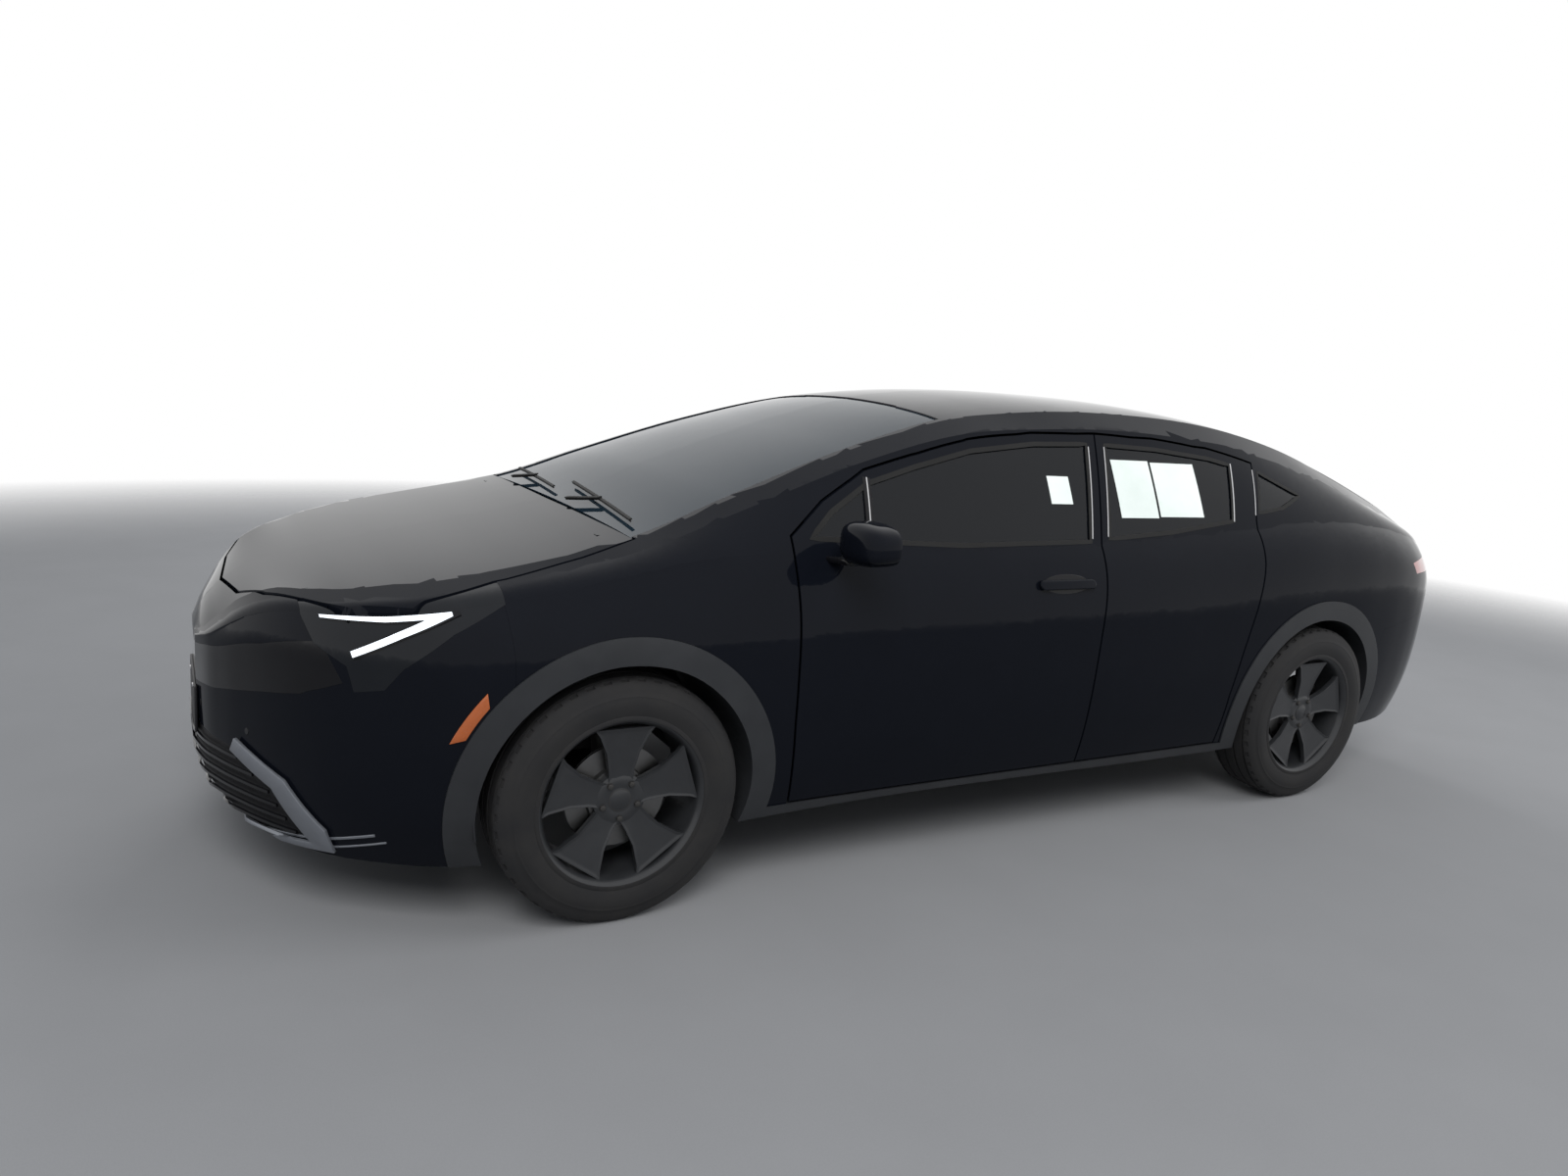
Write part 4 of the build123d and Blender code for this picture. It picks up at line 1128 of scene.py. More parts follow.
@dataclass
class Trim:
    """Strips, seals, bars, handles and markers on the car's sides."""

    shop: Workshop
    front_window: tuple = ((822, 1006), (300, 984), (-222, 992), (-286, 1292), (-60, 1284), (200, 1254),
                           (420, 1202), (600, 1152), (740, 1074))
    rear_window: tuple = ((-306, 1000), (-600, 1020), (-908, 1058), (-962, 1246), (-860, 1264),
                          (-600, 1286), (-368, 1292))
    quarter_window: tuple = ((-1052, 1086), (-1190, 1104), (-1318, 1148), (-1110, 1226))
    divider: tuple = ((600, 1168), (627, 992))
    pillar_front: tuple = ((-230, 1000), (-292, 1284))
    pillar_rear: tuple = ((-300, 1006), (-362, 1286))
    quarter_bars: tuple = (((-912, 1056), (-968, 1250)), ((-1030, 1078), (-1082, 1232)))
    handle_x: float = -86
    handle_z: float = 868
    handle_length: float = 230
    handle_height: float = 30
    marker_radii: tuple[float, float] = (450, 478)
    marker_angles: tuple[float, float] = (24, 42)
    axle: tuple[float, float] = (1360, 333)

    def strip(self, name: str, line: Sequence, width: float, proud: float, thick: float, look: Look,
              body: str, sign: float, slot: str, closed: bool = False) -> None:
        """Lay one strip and finish it.

        Args:
            name: The piece's name.
            line: Its line in millimetres, seen from the side.
            width: Its width.
            proud: How far it stands outside the skin.
            thick: Its thickness.
            look: Its finish.
            body: The body that it rides on.
            sign: One for the left, and minus one for the right.
            slot: The record's material slot.
            closed: Whether the line meets its own start.
        """
        bm = self.shop.side_ribbon(line, width, proud, thick, sign, closed)
        soften(bm, 0.0006, 1)
        self.shop.finish(name, bm, look, body, slot=slot)

    def handle(self, side: str, sign: float) -> None:
        """Build a front door's bar handle over its shallow dish."""
        half, high = self.handle_length / 2, self.handle_height / 2
        outline = [(half - high * (1 - math.sin(a)) if k < 9 else -half + high * (1 + math.sin(a)),
                    high * math.cos(a) if k < 9 else high * math.cos(a))
                   for k, a in enumerate([math.pi * i / 8 for i in range(9)]
                                         + [math.pi + math.pi * i / 8 for i in range(9)])]
        points = [self.shop.side_point(self.handle_x + dx, self.handle_z + dz, 2.0) for dx, dz in outline]
        bar = slab(points, (0, 0.014, 0), 0.006, 3)
        dish = slab([self.shop.side_point(self.handle_x + 0.84 * half * math.cos(a),
                                          self.handle_z + 30 * math.sin(a), -1.0)
                     for a in [2 * math.pi * i / 32 for i in range(32)]], (0, 0.0018, 0), 0.0008, 1)
        for bm, name, look in ((bar, "door_handle", Look.PAINT), (dish, "door_handle_dish", Look.GLOSS)):
            if sign < 0:
                flip(bm)
            self.shop.finish(f"{name}_{side}", bm, look, f"front_door_{side}_body", slot="gloss_black")

    def marker(self, side: str, sign: float) -> None:
        """Build the amber side marker ahead of a front wheel."""
        (low, high), (start, stop) = self.marker_radii, self.marker_angles
        turn = [math.radians(start + (stop - start) * k / 6) for k in range(7)]
        x0, z0 = self.axle
        rim = [(x0 + high * math.cos(a), z0 + high * math.sin(a)) for a in turn]
        rim += [(x0 + low * math.cos(a), z0 + low * math.sin(a)) for a in reversed(turn[1:-1])]
        bm = slab([self.shop.side_point(x, z, 0.5) for x, z in rim], (0, 0.003, 0), 0.001, 2)
        if sign < 0:
            flip(bm)
        self.shop.finish(f"side_marker_{side}", bm, Look.AMBER, "body", slot="tail_lamp")

    def build(self) -> None:
        """Build the trim of both sides."""
        for side, sign in SIDES:
            front, rear = f"front_door_{side}_body", f"rear_door_{side}_body"
            self.strip(f"front_window_seal_{side}", self.front_window, 14, 1.0, 2.5, Look.SEAL, front, sign,
                       "trim", True)
            self.strip(f"rear_window_seal_{side}", self.rear_window, 14, 1.0, 2.5, Look.SEAL, rear, sign,
                       "trim", True)
            self.strip(f"quarter_window_seal_{side}", self.quarter_window, 12, 1.0, 2.5, Look.SEAL, "body",
                       sign, "trim", True)
            self.strip(f"window_divider_{side}", self.divider, 26, 1.5, 7.0, Look.GLOSS, front, sign,
                       "gloss_black")
            self.strip(f"divider_beading_{side}", self.divider, 4, 3.0, 2.0, Look.STEEL, front, sign, "trim")
            self.strip(f"front_pillar_beading_{side}", self.pillar_front, 4, 2.4, 2.0, Look.STEEL, front,
                       sign, "trim")
            self.strip(f"rear_pillar_beading_{side}", self.pillar_rear, 4, 2.4, 2.0, Look.STEEL, rear, sign,
                       "trim")
            self.strip(f"quarter_beading_front_{side}", self.quarter_bars[0], 5, 2.4, 2.0, Look.STEEL, rear,
                       sign, "trim")
            self.strip(f"quarter_beading_rear_{side}", self.quarter_bars[1], 4, 2.4, 2.0, Look.STEEL,
                       "body", sign, "trim")
            self.handle(side, sign)
            self.marker(side, sign)


@dataclass
class Nose:
    """The lamps' light guides, the lower intake and its blades, the front plate holder and sensors."""

    shop: Workshop
    guide: tuple = (((2052, 800), (2051, 794)), ((1925, 816), (1925, 805)), ((1790, 838), (1846, 818)),
                    ((1788, 830), (1850, 814)), ((1890, 776), (1902, 786)), ((1990, 716), (1994, 730)))
    frame_half: tuple = (((0, 194), (0, 212)), ((250, 194), (250, 212)), ((470, 194), (540, 212)),
                         ((640, 202), (598, 219)), ((640, 262), (575, 256)), ((560, 372), (520, 340)),
                         ((400, 436), (380, 400)))
    blades: tuple = (((2182, 202), (2060, 226), (1942, 268)), ((2124, 196), (2020, 214), (1917, 251)))
    bars: tuple = ((232, 560), (262, 540), (292, 520), (322, 500), (352, 450), (382, 395))
    holder: tuple[float, float, float] = (340, 130, 378)
    sensors: tuple = ((190, 470), (430, 460))

    def guides(self) -> None:
        """Build the light guides that bend round each lamp."""
        for side, sign in SIDES:
            first, second = rails(self.guide, lambda x, z: self.shop.side_point(x, z, 4.0), 24)
            bm = band(first, second, 5.0, Vector((0.3, 1, 0.6)))
            edge, inner = rails(self.guide, lambda x, z: self.shop.side_point(x, z, 2.0), 24)
            rim = band([a + (a - b) * 0.28 for a, b in zip(edge, inner)],
                       [b - (a - b) * 0.28 for a, b in zip(edge, inner)], 3.0, Vector((0.3, 1, 0.6)))
            for mesh, name, look in ((bm, "light_guide", Look.STRIP), (rim, "light_guide_bezel", Look.GLOSS)):
                if sign < 0:
                    flip(mesh)
                self.shop.finish(f"{name}_{side}", mesh, look, "body", slot="glass")

    def intake(self) -> None:
        """Build the frame round the lower intake, its bars and the blades beside it; the silver of the frame
        and the blades is a painted reflection of the white sky on gloss black trim.
        """
        whole = [((-a[0], a[1]), (-b[0], b[1])) for a, b in reversed(self.frame_half[1:])]
        whole += list(self.frame_half)
        first, second = rails(whole, lambda y, z: self.shop.end_point(y, z, 7.0), 24)
        bm = band(first, second, 9.0, Vector((1, 0, 0)))
        soften(bm, 0.002, 2)
        self.shop.finish("intake_frame", bm, Look.SILVER_PAINTED_REFLECTION, "body", slot="trim")
        ribs = bmesh.new()
        for z, half in self.bars:
            pair = (((-half, z + 4), (-half, z - 4)), ((half, z + 4), (half, z - 4)))
            join(ribs, band(*rails(pair, lambda y, h: self.shop.end_point(y, h, 4.0), 30), 6.0,
                            Vector((1, 0, 0))))
        self.shop.finish("intake_bars", ribs, Look.GLOSS, "body", slot="grille")
        for side, sign in SIDES:
            for number, line in enumerate(self.blades, 1):
                bm = self.shop.side_ribbon(line, 9 - 2 * number, 4.0, 6.0, sign)
                soften(bm, 0.001, 1)
                self.shop.finish(f"bumper_blade_{number}_{side}", bm, Look.SILVER_PAINTED_REFLECTION, "body", slot="trim")

    def small(self) -> None:
        """Build the plate holder with its bolts, and the parking sensors."""
        wide, high, low = self.holder
        front = max(self.shop.end_point(0, low + high * k / 4, 0).x for k in range(5))
        deep = min(self.shop.end_point(y, low + high * k / 2, 0).x for k in range(3) for y in (0, 120))
        bm = block((deep - 0.002, -wide / 2 * MM, low * MM),
                   (front + 0.006, wide / 2 * MM, (low + high) * MM), 0.004, 3)
        self.shop.finish("front_plate_holder", bm, Look.GRILLE, "body", slot="trim")
        dots, bolts = bmesh.new(), bmesh.new()
        for y, z in self.sensors:
            for sign in (1, -1):
                at = self.shop.end_point(sign * y, z, 1.0)
                dot = turned([(0, 0.01), (0, 8), (-2, 9.5), (-8, 9.5), (-8, 0.01)], 20)
                lean = Matrix.Rotation(math.radians(-90 + sign * y * 0.055), 4, "Z")
                join(dots, dot, Matrix.Translation(at) @ lean)
        for y in (-89, 89):
            bolt = turned([(0, 0.01), (0, 5), (-1.5, 6), (-5, 6), (-5, 0.01)], 6)
            join(bolts, bolt, Matrix.Translation((front + 0.009, y * MM, (low + high - 18) * MM))
                 @ Matrix.Rotation(math.radians(-90), 4, "Z"))
        self.shop.finish("front_parking_sensors", dots, Look.GLOSS, "body", slot="gloss_black")
        self.shop.finish("front_plate_bolts", bolts, Look.STEEL, "body", slot="steel")

    def build(self) -> None:
        """Build the nose's details."""
        self.guides()
        self.intake()
        self.small()


@dataclass
class Tail:
    """The tail's light bar, the blank plate and the sensors."""

    shop: Workshop
    bar: tuple[float, float, float] = (600, 868, 896)
    plate: tuple[float, float, float] = (310, 155, 560)
    sensors: tuple = ((220, 470), (520, 480))

    def build(self) -> None:
        """Build the tail's details."""
        half, low, high = self.bar
        body = self.shop.body_of("tailgate")
        pair = (((-half, high), (-half, low)), ((half, high), (half, low)))
        bm = band(*rails(pair, lambda y, z: self.shop.end_point(y, z, 4.0, -1), 30), 6.0, Vector((-1, 0, 0)))
        soften(bm, 0.002, 2)
        self.shop.finish("tail_light_bar", bm, Look.RED, body, slot="tail_lamp")
        wide, tall, foot = self.plate
        skin = [self.shop.end_point(y, foot + tall * k / 2, 0, -1).x for k in range(3) for y in (0, wide / 2)]
        plate = block((min(skin) - 0.006, -wide / 2 * MM, foot * MM),
                      (max(skin) + 0.002, wide / 2 * MM, (foot + tall) * MM), 0.002, 2)
        self.shop.finish("rear_plate", plate, Look.PAPER, body, slot="trim")
        dots = bmesh.new()
        for y, z in self.sensors:
            for sign in (1, -1):
                dot = turned([(0, 0.01), (0, 8), (-2, 9.5), (-8, 9.5), (-8, 0.01)], 20)
                join(dots, dot, Matrix.Translation(self.shop.end_point(sign * y, z, 1.0, -1))
                     @ Matrix.Rotation(math.radians(90 - sign * y * 0.055), 4, "Z"))
        self.shop.finish("rear_parking_sensors", dots, Look.GLOSS, "body", slot="gloss_black")


@dataclass
class Wipers:
    """Two wipers that rest along the foot of the windscreen."""

    shop: Workshop
    blades: tuple = (((1256, 560), (1210, -60)), ((1264, -90), (1228, -600)))
    arms: tuple = (((1296, 132), (1270, 190), (1236, 262)), ((1296, -450), (1272, -400), (1244, -340)))

    def build(self) -> None:
        """Build the blades and the arms."""
        bm = bmesh.new()
        for line, width, proud in [(b, 9, 10.0) for b in self.blades] + [(a, 13, 15.0) for a in self.arms]:
            for wide, lift, thick in ((width, proud, 5.0), (width * 0.45, proud - 5.0, 5.0)):
                pairs = []
                for x, y in refine(line, 40):
                    pairs.append(((x + wide / 2, y), (x - wide / 2, y)))
                join(bm, band(*rails(pairs, lambda x, y: self.shop.top_point(x, y, lift)), thick,
                              Vector((0, 0, 1))))
        soften(bm, 0.0012, 1)
        self.shop.finish("wipers", bm, Look.SEAL, "body", slot="trim")


@dataclass
class Mirrors:
    """Door mirrors: a rounded shell on a slim foot, with its glass facing backwards."""

    shop: Workshop
    deep: float = 104
    foot_thick: float = 16

    def shell(self, low: Vector, high: Vector) -> bmesh.types.BMesh:
        """Return the rounded shell that fills a box, cut flat at its back."""
        bm = bmesh.new()
        bmesh.ops.create_uvsphere(bm, u_segments=48, v_segments=28, radius=1.0)
        centre, half = (low + high) / 2, (high - low) / 2
        for v in bm.verts:
            v.co = Vector([math.copysign(abs(c) ** 0.62, c) for c in v.co])
            v.co.z *= 1.0 - 0.16 * max(0.0, v.co.y)
            v.co.y += 0.06 * v.co.x
            v.co = Vector((centre.x - half.x + (v.co.x + 0.5) / 1.5 * 2 * half.x,
                           centre.y + v.co.y * half.y * 0.94, centre.z + v.co.z * half.z))
        cut = bmesh.ops.bisect_plane(bm, geom=bm.verts[:] + bm.edges[:] + bm.faces[:], dist=1e-6,
                                     plane_co=(low.x + 0.002, 0, 0), plane_no=(-1, 0, 0), clear_outer=True)
        rim = [g for g in cut["geom_cut"] if isinstance(g, bmesh.types.BMEdge)]
        back = bmesh.ops.contextual_create(bm, geom=rim)["faces"]
        bmesh.ops.inset_region(bm, faces=back, thickness=0.007, depth=0.0)
        bmesh.ops.inset_region(bm, faces=back, thickness=0.001, depth=-0.006)
        for face in back:
            face.material_index = 1
        bmesh.ops.recalc_face_normals(bm, faces=bm.faces)
        return bm

    def build(self) -> None:
        """Build both mirrors."""
        for side, sign in SIDES:
            node = f"mirror_{side}"
            low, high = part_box(node)
            low, high = Vector(low), Vector(high)
            if sign < 0:
                low.y, high.y = -high.y, -low.y
            inner = high.y - 0.205
            bm = self.shell(Vector((high.x - self.deep * MM, inner, low.z + 0.012)), high.copy())
            foot = block((high.x - 0.085, low.y, low.z + 0.004), (high.x - 0.022, inner + 0.06,
                         low.z + 0.004 + self.foot_thick * MM), 0.007, 3)
            for v in foot.verts:
                if v.co.y < low.y + 0.03:
                    v.co.x += 0.012
                    v.co.z -= 0.004
            for mesh in (bm, foot):
                if sign < 0:
                    flip(mesh)
            body = self.shop.body_of(node)
            self.shop.finish(f"mirror_shell_{side}", bm, [Look.PAINT, Look.MIRROR_GLASS], body, [node],
                             "paint", 40.0)
            self.shop.finish(f"mirror_foot_{side}", foot, Look.GLOSS, body, [], "gloss_black", 40.0)


@dataclass
class Sheets:
    """Blank sheets that are put up behind the windows of the left side."""

    shop: Workshop
    proud: float = -2.4
    sheets: tuple = (("rear_door_left_body", "rear_window_sheet_1", (-380, -552), (1066, 1248)),
                     ("rear_door_left_body", "rear_window_sheet_2", (-562, -770), (1070, 1244)),
                     ("front_door_left_body", "front_window_sheet", (-86, -176), (1106, 1190)))

    def build(self) -> None:
        """Build the sheets."""
        for body, name, (start, stop), (low, high) in self.sheets:
            bm = bmesh.new()
            bmesh.ops.create_grid(bm, x_segments=6, y_segments=8, size=0.5)
            for v in bm.verts:
                v.co = self.shop.side_point(start + (stop - start) * (v.co.x + 0.5),
                                            low + (high - low) * (v.co.y + 0.5), self.proud)
            bmesh.ops.recalc_face_normals(bm, faces=bm.faces)
            bmesh.ops.solidify(bm, geom=bm.faces[:], thickness=0.0005)
            bmesh.ops.recalc_face_normals(bm, faces=bm.faces)
            self.shop.finish(name, bm, Look.PAPER, body, slot="trim")


# ---------------------------------------------------------------------------------------------
# Cabin
# ---------------------------------------------------------------------------------------------
@dataclass
class Cabin:
    """The padded seats and the hard parts inside and under the car."""

    shop: Workshop
    seat_half: float = 250
    front_y: float = 365
    voxel: float = 0.020
    swell: float = 0.014
    channels: tuple[float, ...] = (-0.135, 0.135)

    def puff(self, name: str, bm: bmesh.types.BMesh, centres: Sequence[float], across: bool) -> None:
        """Blow a cushion up a little as cloth, and sew its channels.

        Args:
            name: The cushion's name.
            bm: Its plain rounded shape, a little small.
            centres: The places across the car of the seats that it belongs to.
            across: Whether a channel also runs across the seats.
        """
        bmesh.ops.triangulate(bm, faces=bm.faces)
        piece = self.shop.finish(name, bm, Look.CLOTH, "body", slot="fabric", smooth=180.0)
        before = None
        remesh = piece.modifiers.new("remesh", "REMESH")
        remesh.mode, remesh.voxel_size = "VOXEL", self.voxel
        self.settle(piece)
        before = [v.co.copy() for v in piece.data.vertices]
        cloth = piece.modifiers.new("cloth", "CLOTH")
        cloth.settings.use_pressure = True
        cloth.settings.uniform_pressure_force = 4.0
        cloth.settings.effector_weights.gravity = 0.0
        cloth.point_cache.frame_start, cloth.point_cache.frame_end = 1, 20
        for frame in range(1, 21):
            bpy.context.scene.frame_set(frame)
        self.settle(piece)
        bpy.context.scene.frame_set(1)
        mesh = piece.data
        low = min(v.co.x for v in mesh.vertices)
        high = max(v.co.x for v in mesh.vertices)
        for i, v in enumerate(mesh.vertices):
            if before is not None:
                move = v.co - before[i]
                v.co = before[i] + move * min(1.0, self.swell / max(move.length, 1e-9))
            near = min(abs(v.co.y - c - k) for c in centres for k in self.channels)
            sewn = 0.007 * math.exp(-(near / 0.010) ** 2)
            if across:
                sewn = max(sewn, 0.007 * math.exp(-((v.co.x - (0.42 * low + 0.58 * high)) / 0.010) ** 2))
            v.co -= v.normal * sewn
        for face in mesh.polygons:
            face.use_smooth = True

    @staticmethod
    def settle(piece: bpy.types.Object) -> None:
        """Put the result of a piece's modifiers into its mesh."""
        graph = bpy.context.evaluated_depsgraph_get()
        mesh = bpy.data.meshes.new_from_object(piece.evaluated_get(graph), depsgraph=graph)
        piece.modifiers.clear()
        piece.data = mesh

    def seats(self) -> None:
        """Build the front and rear seats over their plain solids."""
        for node, centres, half, hats in (("front_seats", (self.front_y, -self.front_y), self.seat_half,
                                           ((self.front_y, 140), (-self.front_y, 140))),
                                          ("rear_seat", (0.0,), None, ((-330, 100), (0, 100), (330, 100)))):
            low, high = (Vector(corner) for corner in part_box(node))
            log.info("%s %s %s", node, tuple(low), tuple(high))
            self.seat(node, low, high, [c * MM for c in centres], half, hats)

    def seat(self, node: str, low: Vector, high: Vector, centres: Sequence[float], half: float | None,
             hats: Sequence[tuple[float, float]]) -> None:
        """Build one row of seats.

        Args:
            node: The solid that it stands for.
            low: The solid's lowest corner.
            high: The solid's highest corner.
            centres: The seats' places across the car.
            half: Half of a seat's width in millimetres, or None for the whole row.
            hats: The headrests' places across the car, and their heights in millimetres.
        """
        base, back, rest = bmesh.new(), bmesh.new(), bmesh.new()
        inset = 0.014
        knee = low.z + 0.48 * (high.z - low.z) if node == "front_seats" else low.z + 0.42 * (high.z - low.z)
        spine = low.x + 0.30 * (high.x - low.x)
        for centre in centres:
            wide = half * MM if half is not None else (high.y - low.y) / 2
            a, b = centre - wide + inset, centre + wide - inset
            join(base, block((spine - 0.05, a, low.z + inset), (high.x - inset, b, knee), 0.045, 4))
            lean = block((low.x + inset, a + 0.012, low.z + 0.08), (spine - 0.01, b - 0.012, high.z - inset),
                         0.045, 4)
            join(back, lean)
        for y, tall in hats:
            hat = block((low.x + 0.02, y * MM - 0.125, high.z + 0.004),
                        (low.x + 0.105, y * MM + 0.125, high.z + 0.004 + tall * MM), 0.035, 4)
            join(rest, hat)
        self.puff(f"{node}_base", base, centres, node == "front_seats")
        self.puff(f"{node}_back", back, centres, False)
        self.puff(f"{node}_headrests", rest, [9.0], False)
        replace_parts(bpy.data.objects[f"{node}_base"], node)

    def build(self) -> None:
        """Build the seats and dress the solids that stay."""
        for node, look in (("dashboard", Look.CABIN), ("steering_wheel", Look.CABIN),
                           ("floor_pan", Look.UNDERBODY), ("bulkhead", Look.UNDERBODY),
                           ("engine", Look.IRON), ("front_axle", Look.IRON), ("rear_axle", Look.IRON),
                           ("knuckle_left", Look.IRON), ("knuckle_right", Look.IRON)):
            self.shop.dress(node, look)
        self.seats()


# ---------------------------------------------------------------------------------------------
# Wheels
# ---------------------------------------------------------------------------------------------
@dataclass
class Wheels:
    """Tyres with a moulded tread, and wheels with five broad flared spokes."""

    shop: Workshop
    half: float = 97.5
    radius: float = 333.0
    rim: float = 228.0
    spokes: int = 5
    ribs: tuple[float, ...] = (-62.0, -22.0, 22.0, 62.0)
    groove: float = 7.0
    steps: int = 90
    disc: float = 138.0

    def tyre(self) -> bmesh.types.BMesh:
        """Return a tyre about the origin, with its outer side towards +Y."""
        r, h = self.radius, self.half
        wall = [(h - 10, self.rim - 6), (h - 4, self.rim - 3), (h - 3.4, self.rim + 6),
                (h - 4.6, self.rim + 8),
                (h - 2.0, self.rim + 18), (h - 0.4, self.rim + 34), (h, self.rim + 52),
                (h - 0.6, self.rim + 53.5), (h - 0.7, self.rim + 60), (h - 1.8, self.rim + 61),
                (h - 4.5, r - 30), (h - 9.0, r - 19), (h - 16, r - 9.5), (h - 27, r - 3.2)]
        tread: list[tuple[float, float]] = []
        for rib in reversed(self.ribs):
            crown = r - 3.0 * (abs(rib) / 70) ** 2
            tread += [(rib + self.groove / 2 + 1, crown), (rib + self.groove / 2, crown - 7),
                      (rib - self.groove / 2, crown - 7), (rib - self.groove / 2 - 1, crown)]
        other = [(-y, z) for y, z in reversed(wall)]
        bm = turned(wall + tread + other, self.steps)
        cuts = []
        for face in bm.faces:
            middle = face.calc_center_median()
            reach = math.hypot(middle.x, middle.z) / MM
            step = int((math.atan2(middle.z, middle.x) + math.pi) / (2 * math.pi) * self.steps + 0.25)
            if reach > r - 12 and abs(middle.y) / MM > 64 and step % 2:
                cuts.append(face)
        made = bmesh.ops.inset_individual(bm, faces=cuts, thickness=0.0035, depth=-0.0045)
        log.info("tyre: %d sipes", len(made["faces"]))
        return bm

    def face(self) -> bmesh.types.BMesh:
        """Return the pierced wheel about the origin, with its face towards +Y."""
        h, bore = self.half, self.rim - 18
        bm = turned([(h - 12, self.rim - 2), (h - 7, self.rim + 3), (h - 5, self.rim), (h - 6, self.rim - 5),
                     (h - 14, self.rim - 12), (h - 24, bore), (12 - h, bore), (8 - h, self.rim - 4),
                     (8 - h, self.rim + 3), (12 - h, self.rim + 3), (13 - h, self.rim - 2),
                     (-40, self.rim - 6),
                     (h - 40, self.rim - 6), (h - 12, self.rim - 2)], self.steps)
        for k in range(self.spokes):
            join(bm, self.spoke(), Matrix.Rotation(2 * math.pi * k / self.spokes, 4, "Y"))
        hub = turned([(h - 36, 0.01), (h - 36, 27), (h - 38, 30), (h - 38.5, 33), (h - 37, 38), (h - 37, 56),
                      (h - 42, 70), (h - 62, 72), (h - 62, 0.01)], 60)
        join(bm, hub)
        return bm

    def spoke(self) -> bmesh.types.BMesh:
        """Return one spoke that points up, flared towards the rim and raised along its edges."""
        h, bore = self.half, self.rim - 14
        inner, waist, outer = 36, 0.60 * bore, bore
        line = [(-33, inner), (-35, 0.36 * bore), (-45, waist), (-68, 0.84 * bore), (-83, outer * 0.93),
                (83, outer * 0.93), (68, 0.84 * bore), (45, waist), (35, 0.36 * bore), (33, inner)]
        bm = bmesh.new()
        face = bm.faces.new([bm.verts.new((x * MM, (h - 34) * MM, z * MM)) for x, z in line])
        if face.normal.y == 0:
            bm.normal_update()
        if face.normal.y < 0:
            bmesh.ops.reverse_faces(bm, faces=[face])
        pushed = bmesh.ops.extrude_face_region(bm, geom=[face])["geom"]
        top = [g for g in pushed if isinstance(g, bmesh.types.BMFace)]
        bmesh.ops.translate(bm, vec=(0, -0.020, 0), verts=[v for v in bm.verts if v not in
                                                          [w for f in top for w in f.verts]])
        bmesh.ops.inset_region(bm, faces=top, thickness=0.007, depth=0.0, use_even_offset=True)
        bmesh.ops.translate(bm, vec=(0, -0.0035, 0), verts=list({v for f in top for v in f.verts}))
        for v in bm.verts:
            reach = v.co.z / MM
            dish = np.interp(reach, [inner, 0.36 * bore, 0.7 * bore, outer], [-4, -2, 9, 16])
            v.co.y += float(dish) * MM
        bmesh.ops.recalc_face_normals(bm, faces=bm.faces)
        soften(bm, 0.0022, 2, 25.0)
        return bm

    def brake(self) -> bmesh.types.BMesh:
        """Return the ventilated disc about the origin, behind the face."""
        y = self.half - 52 - 18
        return turned([(y - 12, 40), (y - 12, self.disc), (y - 9, self.disc + 0.6), (y - 8.6, self.disc - 3),
                       (y - 4.4, self.disc - 3), (y - 4, self.disc + 0.6), (y, self.disc), (y, 84),
                       (y + 12, 80),
                       (y + 12, 40), (y - 12, 40)], 64)

    def nuts(self) -> bmesh.types.BMesh:
        """Return the five wheel nuts about the origin."""
        bm = bmesh.new()
        for k in range(5):
            nut = turned([(self.half - 52, 0.01), (self.half - 30, 0.01), (self.half - 29.5, 5),
                          (self.half - 31, 8), (self.half - 36, 9.5), (self.half - 52, 9.5),
                          (self.half - 52, 0.01)], 6)
            turn = Matrix.Rotation(2 * math.pi * (k + 0.5) / 5, 4, "Y")
            join(bm, nut, turn @ Matrix.Translation((0, 0, 0.05)))
        return bm

    def build(self) -> None:
        """Build the four wheels with their tyres, discs and nuts."""
        for end in ("front", "rear"):
            for side, sign in SIDES:
                low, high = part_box(f"{end}_tyre_{side}")
                place = Matrix.Translation((low + high) / 2)
                body = f"{end}_wheel_{side}_body"
                parts = ((self.tyre(), f"{end}_road_tyre_{side}", Look.TYRE, [f"{end}_tyre_{side}"], "tyre"),
                         (self.face(), f"{end}_spoked_wheel_{side}", Look.RIM, [f"{end}_wheel_{side}"],
                          "wheel"),
                         (self.brake(), f"{end}_brake_disc_{side}", Look.DISC, [], "steel"),
                         (self.nuts(), f"{end}_wheel_nuts_{side}", Look.IRON, [], "steel"))
                for bm, name, look, stands_for, slot in parts:
                    if sign < 0:
                        flip(bm)
                    bm.transform(place)
                    self.shop.finish(name, bm, look, body, stands_for, slot, 40.0)


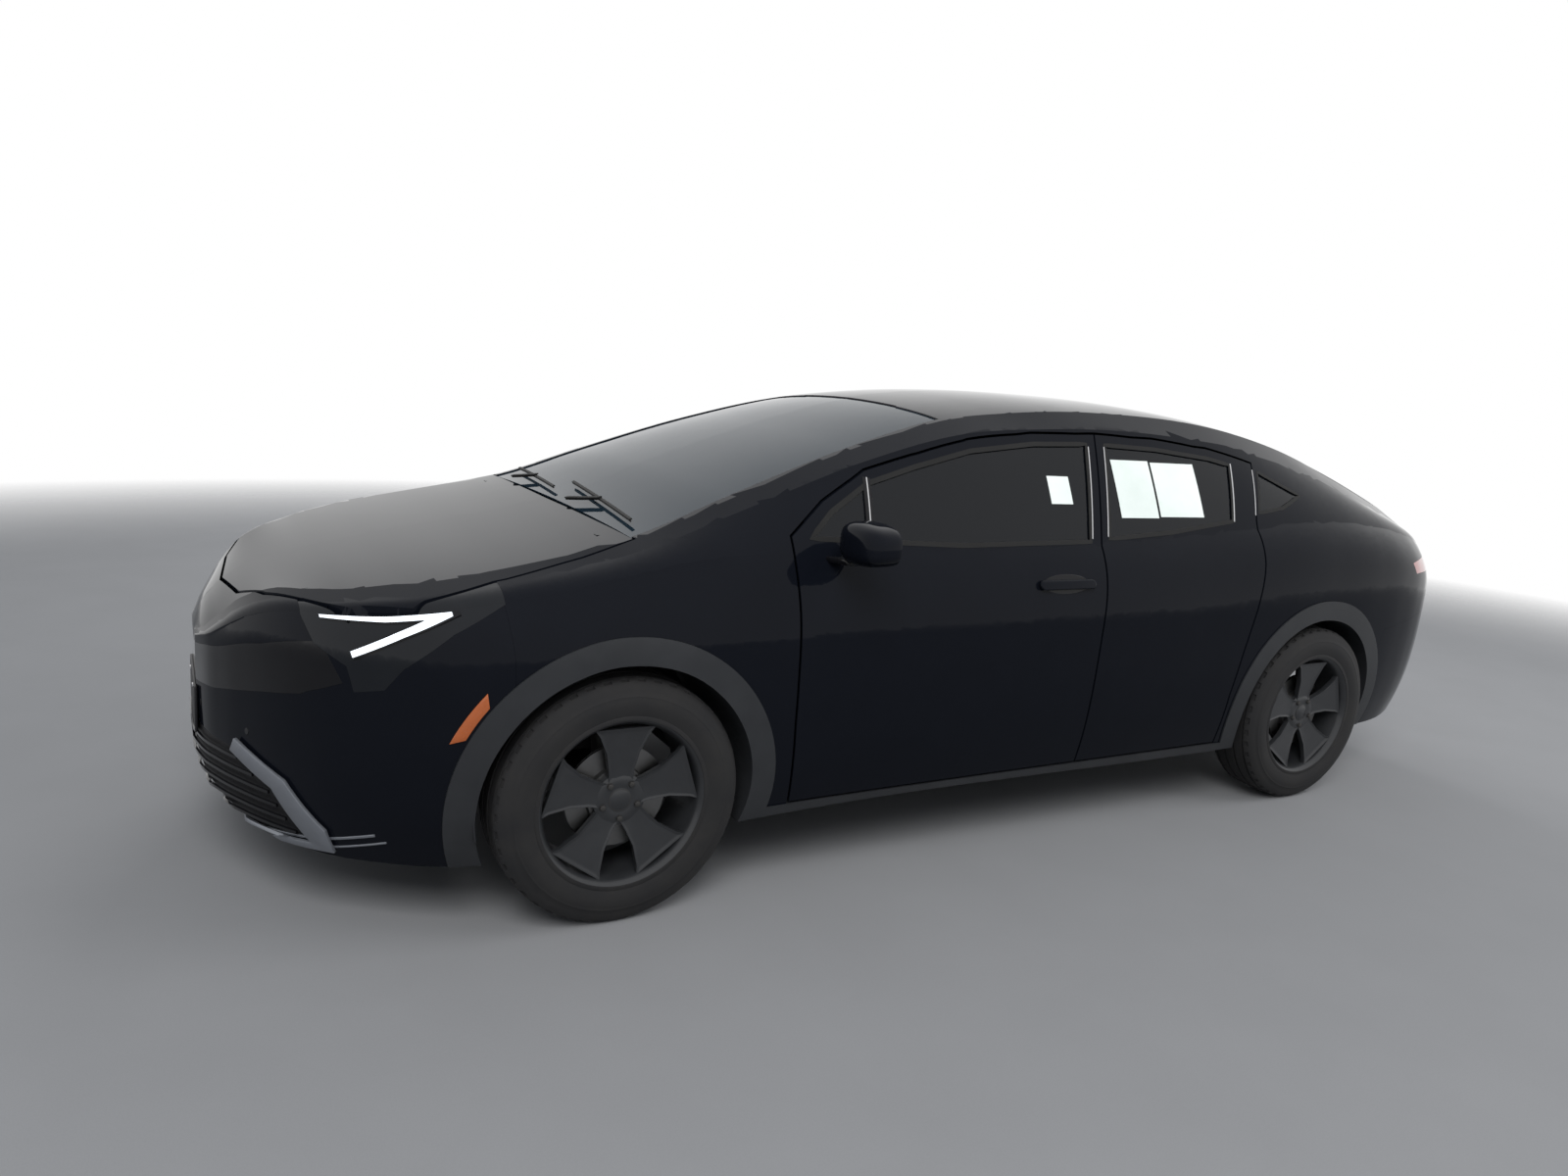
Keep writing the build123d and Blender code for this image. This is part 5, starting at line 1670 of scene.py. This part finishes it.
# ---------------------------------------------------------------------------------------------
# Studio
# ---------------------------------------------------------------------------------------------
@dataclass
class Studio:
    """The floor, the pale surroundings, the lamps and the camera."""

    finishes: Finishes
    eye: tuple[float, float, float] = (2.385, 3.351, 1.455)
    yaw: float = -120.25
    pitch: float = -11.20
    roll: float = 4.70
    lens: float = 25.33
    world_light: float = 0.55

    def floor(self) -> None:
        """Lay the floor."""
        bm = bmesh.new()
        bmesh.ops.create_grid(bm, x_segments=1, y_segments=1, size=60.0)
        mesh = bpy.data.meshes.new("studio_floor")
        bm.to_mesh(mesh)
        bm.free()
        mesh.materials.append(self.finishes[Look.FLOOR])
        ground = bpy.data.objects.new("studio_floor", mesh)
        bpy.context.scene.collection.objects.link(ground)

    def world(self) -> None:
        """Surround the car with soft white light and a white background."""
        world = bpy.data.worlds.new("studio")
        bpy.context.scene.world = world
        world.use_nodes = True
        tree = world.node_tree
        tree.nodes.clear()
        path = tree.nodes.new("ShaderNodeLightPath")
        shade = tree.nodes.new("ShaderNodeBackground")
        white = tree.nodes.new("ShaderNodeBackground")
        mix = tree.nodes.new("ShaderNodeMixShader")
        seen = tree.nodes.new("ShaderNodeMath")
        both = tree.nodes.new("ShaderNodeMath")
        out = tree.nodes.new("ShaderNodeOutputWorld")
        seen.operation = both.operation = "MAXIMUM"
        shade.inputs["Color"].default_value = (0.88, 0.93, 1.0, 1.0)
        shade.inputs["Strength"].default_value = self.world_light
        white.inputs["Color"].default_value = (1.0, 1.0, 1.0, 1.0)
        tree.links.new(path.outputs["Is Camera Ray"], seen.inputs[0])
        tree.links.new(path.outputs["Is Glossy Ray"], seen.inputs[1])
        tree.links.new(seen.outputs[0], both.inputs[0])
        tree.links.new(path.outputs["Is Transmission Ray"], both.inputs[1])
        tree.links.new(both.outputs[0], mix.inputs[0])
        tree.links.new(shade.outputs[0], mix.inputs[1])
        tree.links.new(white.outputs[0], mix.inputs[2])
        tree.links.new(mix.outputs[0], out.inputs[0])

    def lamp(self, name: str, at: Sequence[float], aim: Sequence[float], size: float, power: float,
             mirrored: bool = True) -> None:
        """Hang one soft lamp.

        Args:
            name: Its name.
            at: Where it hangs.
            aim: The point that it faces.
            size: The side of its square.
            power: Its power in watts.
            mirrored: Whether glossy surfaces show it.
        """
        data = bpy.data.lights.new(name, "AREA")
        data.shape, data.size, data.energy = "SQUARE", size, power
        lamp = bpy.data.objects.new(name, data)
        lamp.location = at
        lamp.rotation_euler = (Vector(aim) - Vector(at)).to_track_quat("-Z", "Y").to_euler()
        lamp.visible_glossy = mirrored
        bpy.context.scene.collection.objects.link(lamp)

    def camera(self) -> None:
        """Place the camera."""
        yaw, pitch, roll = (math.radians(angle) for angle in (self.yaw, self.pitch, self.roll))
        forward = Vector((math.cos(pitch) * math.cos(yaw), math.cos(pitch) * math.sin(yaw), math.sin(pitch)))
        right = forward.cross(Vector((0, 0, 1))).normalized()
        up = right.cross(forward)
        turned_right = right * math.cos(roll) + up * math.sin(roll)
        turned_up = up * math.cos(roll) - right * math.sin(roll)
        data = bpy.data.cameras.new("camera")
        data.lens, data.sensor_width, data.clip_end = self.lens, 36.0, 300.0
        camera = bpy.data.objects.new("camera", data)
        frame = Matrix((turned_right, turned_up, -forward)).transposed().to_4x4()
        frame.translation = self.eye
        camera.matrix_world = frame
        bpy.context.scene.collection.objects.link(camera)
        bpy.context.scene.camera = camera

    def build(self) -> None:
        """Set up the studio."""
        bpy.context.scene.view_settings.view_transform = "Standard"
        self.floor()
        self.world()
        self.lamp("key", (3.5, 5.5, 6.0), (0, 0, 0.5), 4.0, 520, False)
        self.lamp("fill", (-5.5, 3.5, 4.5), (0, 0, 0.5), 4.0, 240, False)
        self.lamp("back", (-2.0, -6.0, 5.0), (0, 0, 0.7), 4.0, 300, False)
        self.camera()


def main() -> None:
    """Build the car's looks, piece by piece, and its studio."""
    logging.basicConfig(level=logging.INFO, format="%(name)s %(message)s")
    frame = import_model()
    finishes = Finishes()
    shop = Workshop(frame["nodes"], finishes, BodySurface())
    Bodywork(shop).build()
    Trim(shop).build()
    Nose(shop).build()
    Tail(shop).build()
    Wipers(shop).build()
    Mirrors(shop).build()
    Sheets(shop).build()
    Wheels(shop).build()
    Cabin(shop).build()
    Studio(finishes).build()
    log.info("%d pieces", shop.made)


if __name__ == "__main__":
    main()
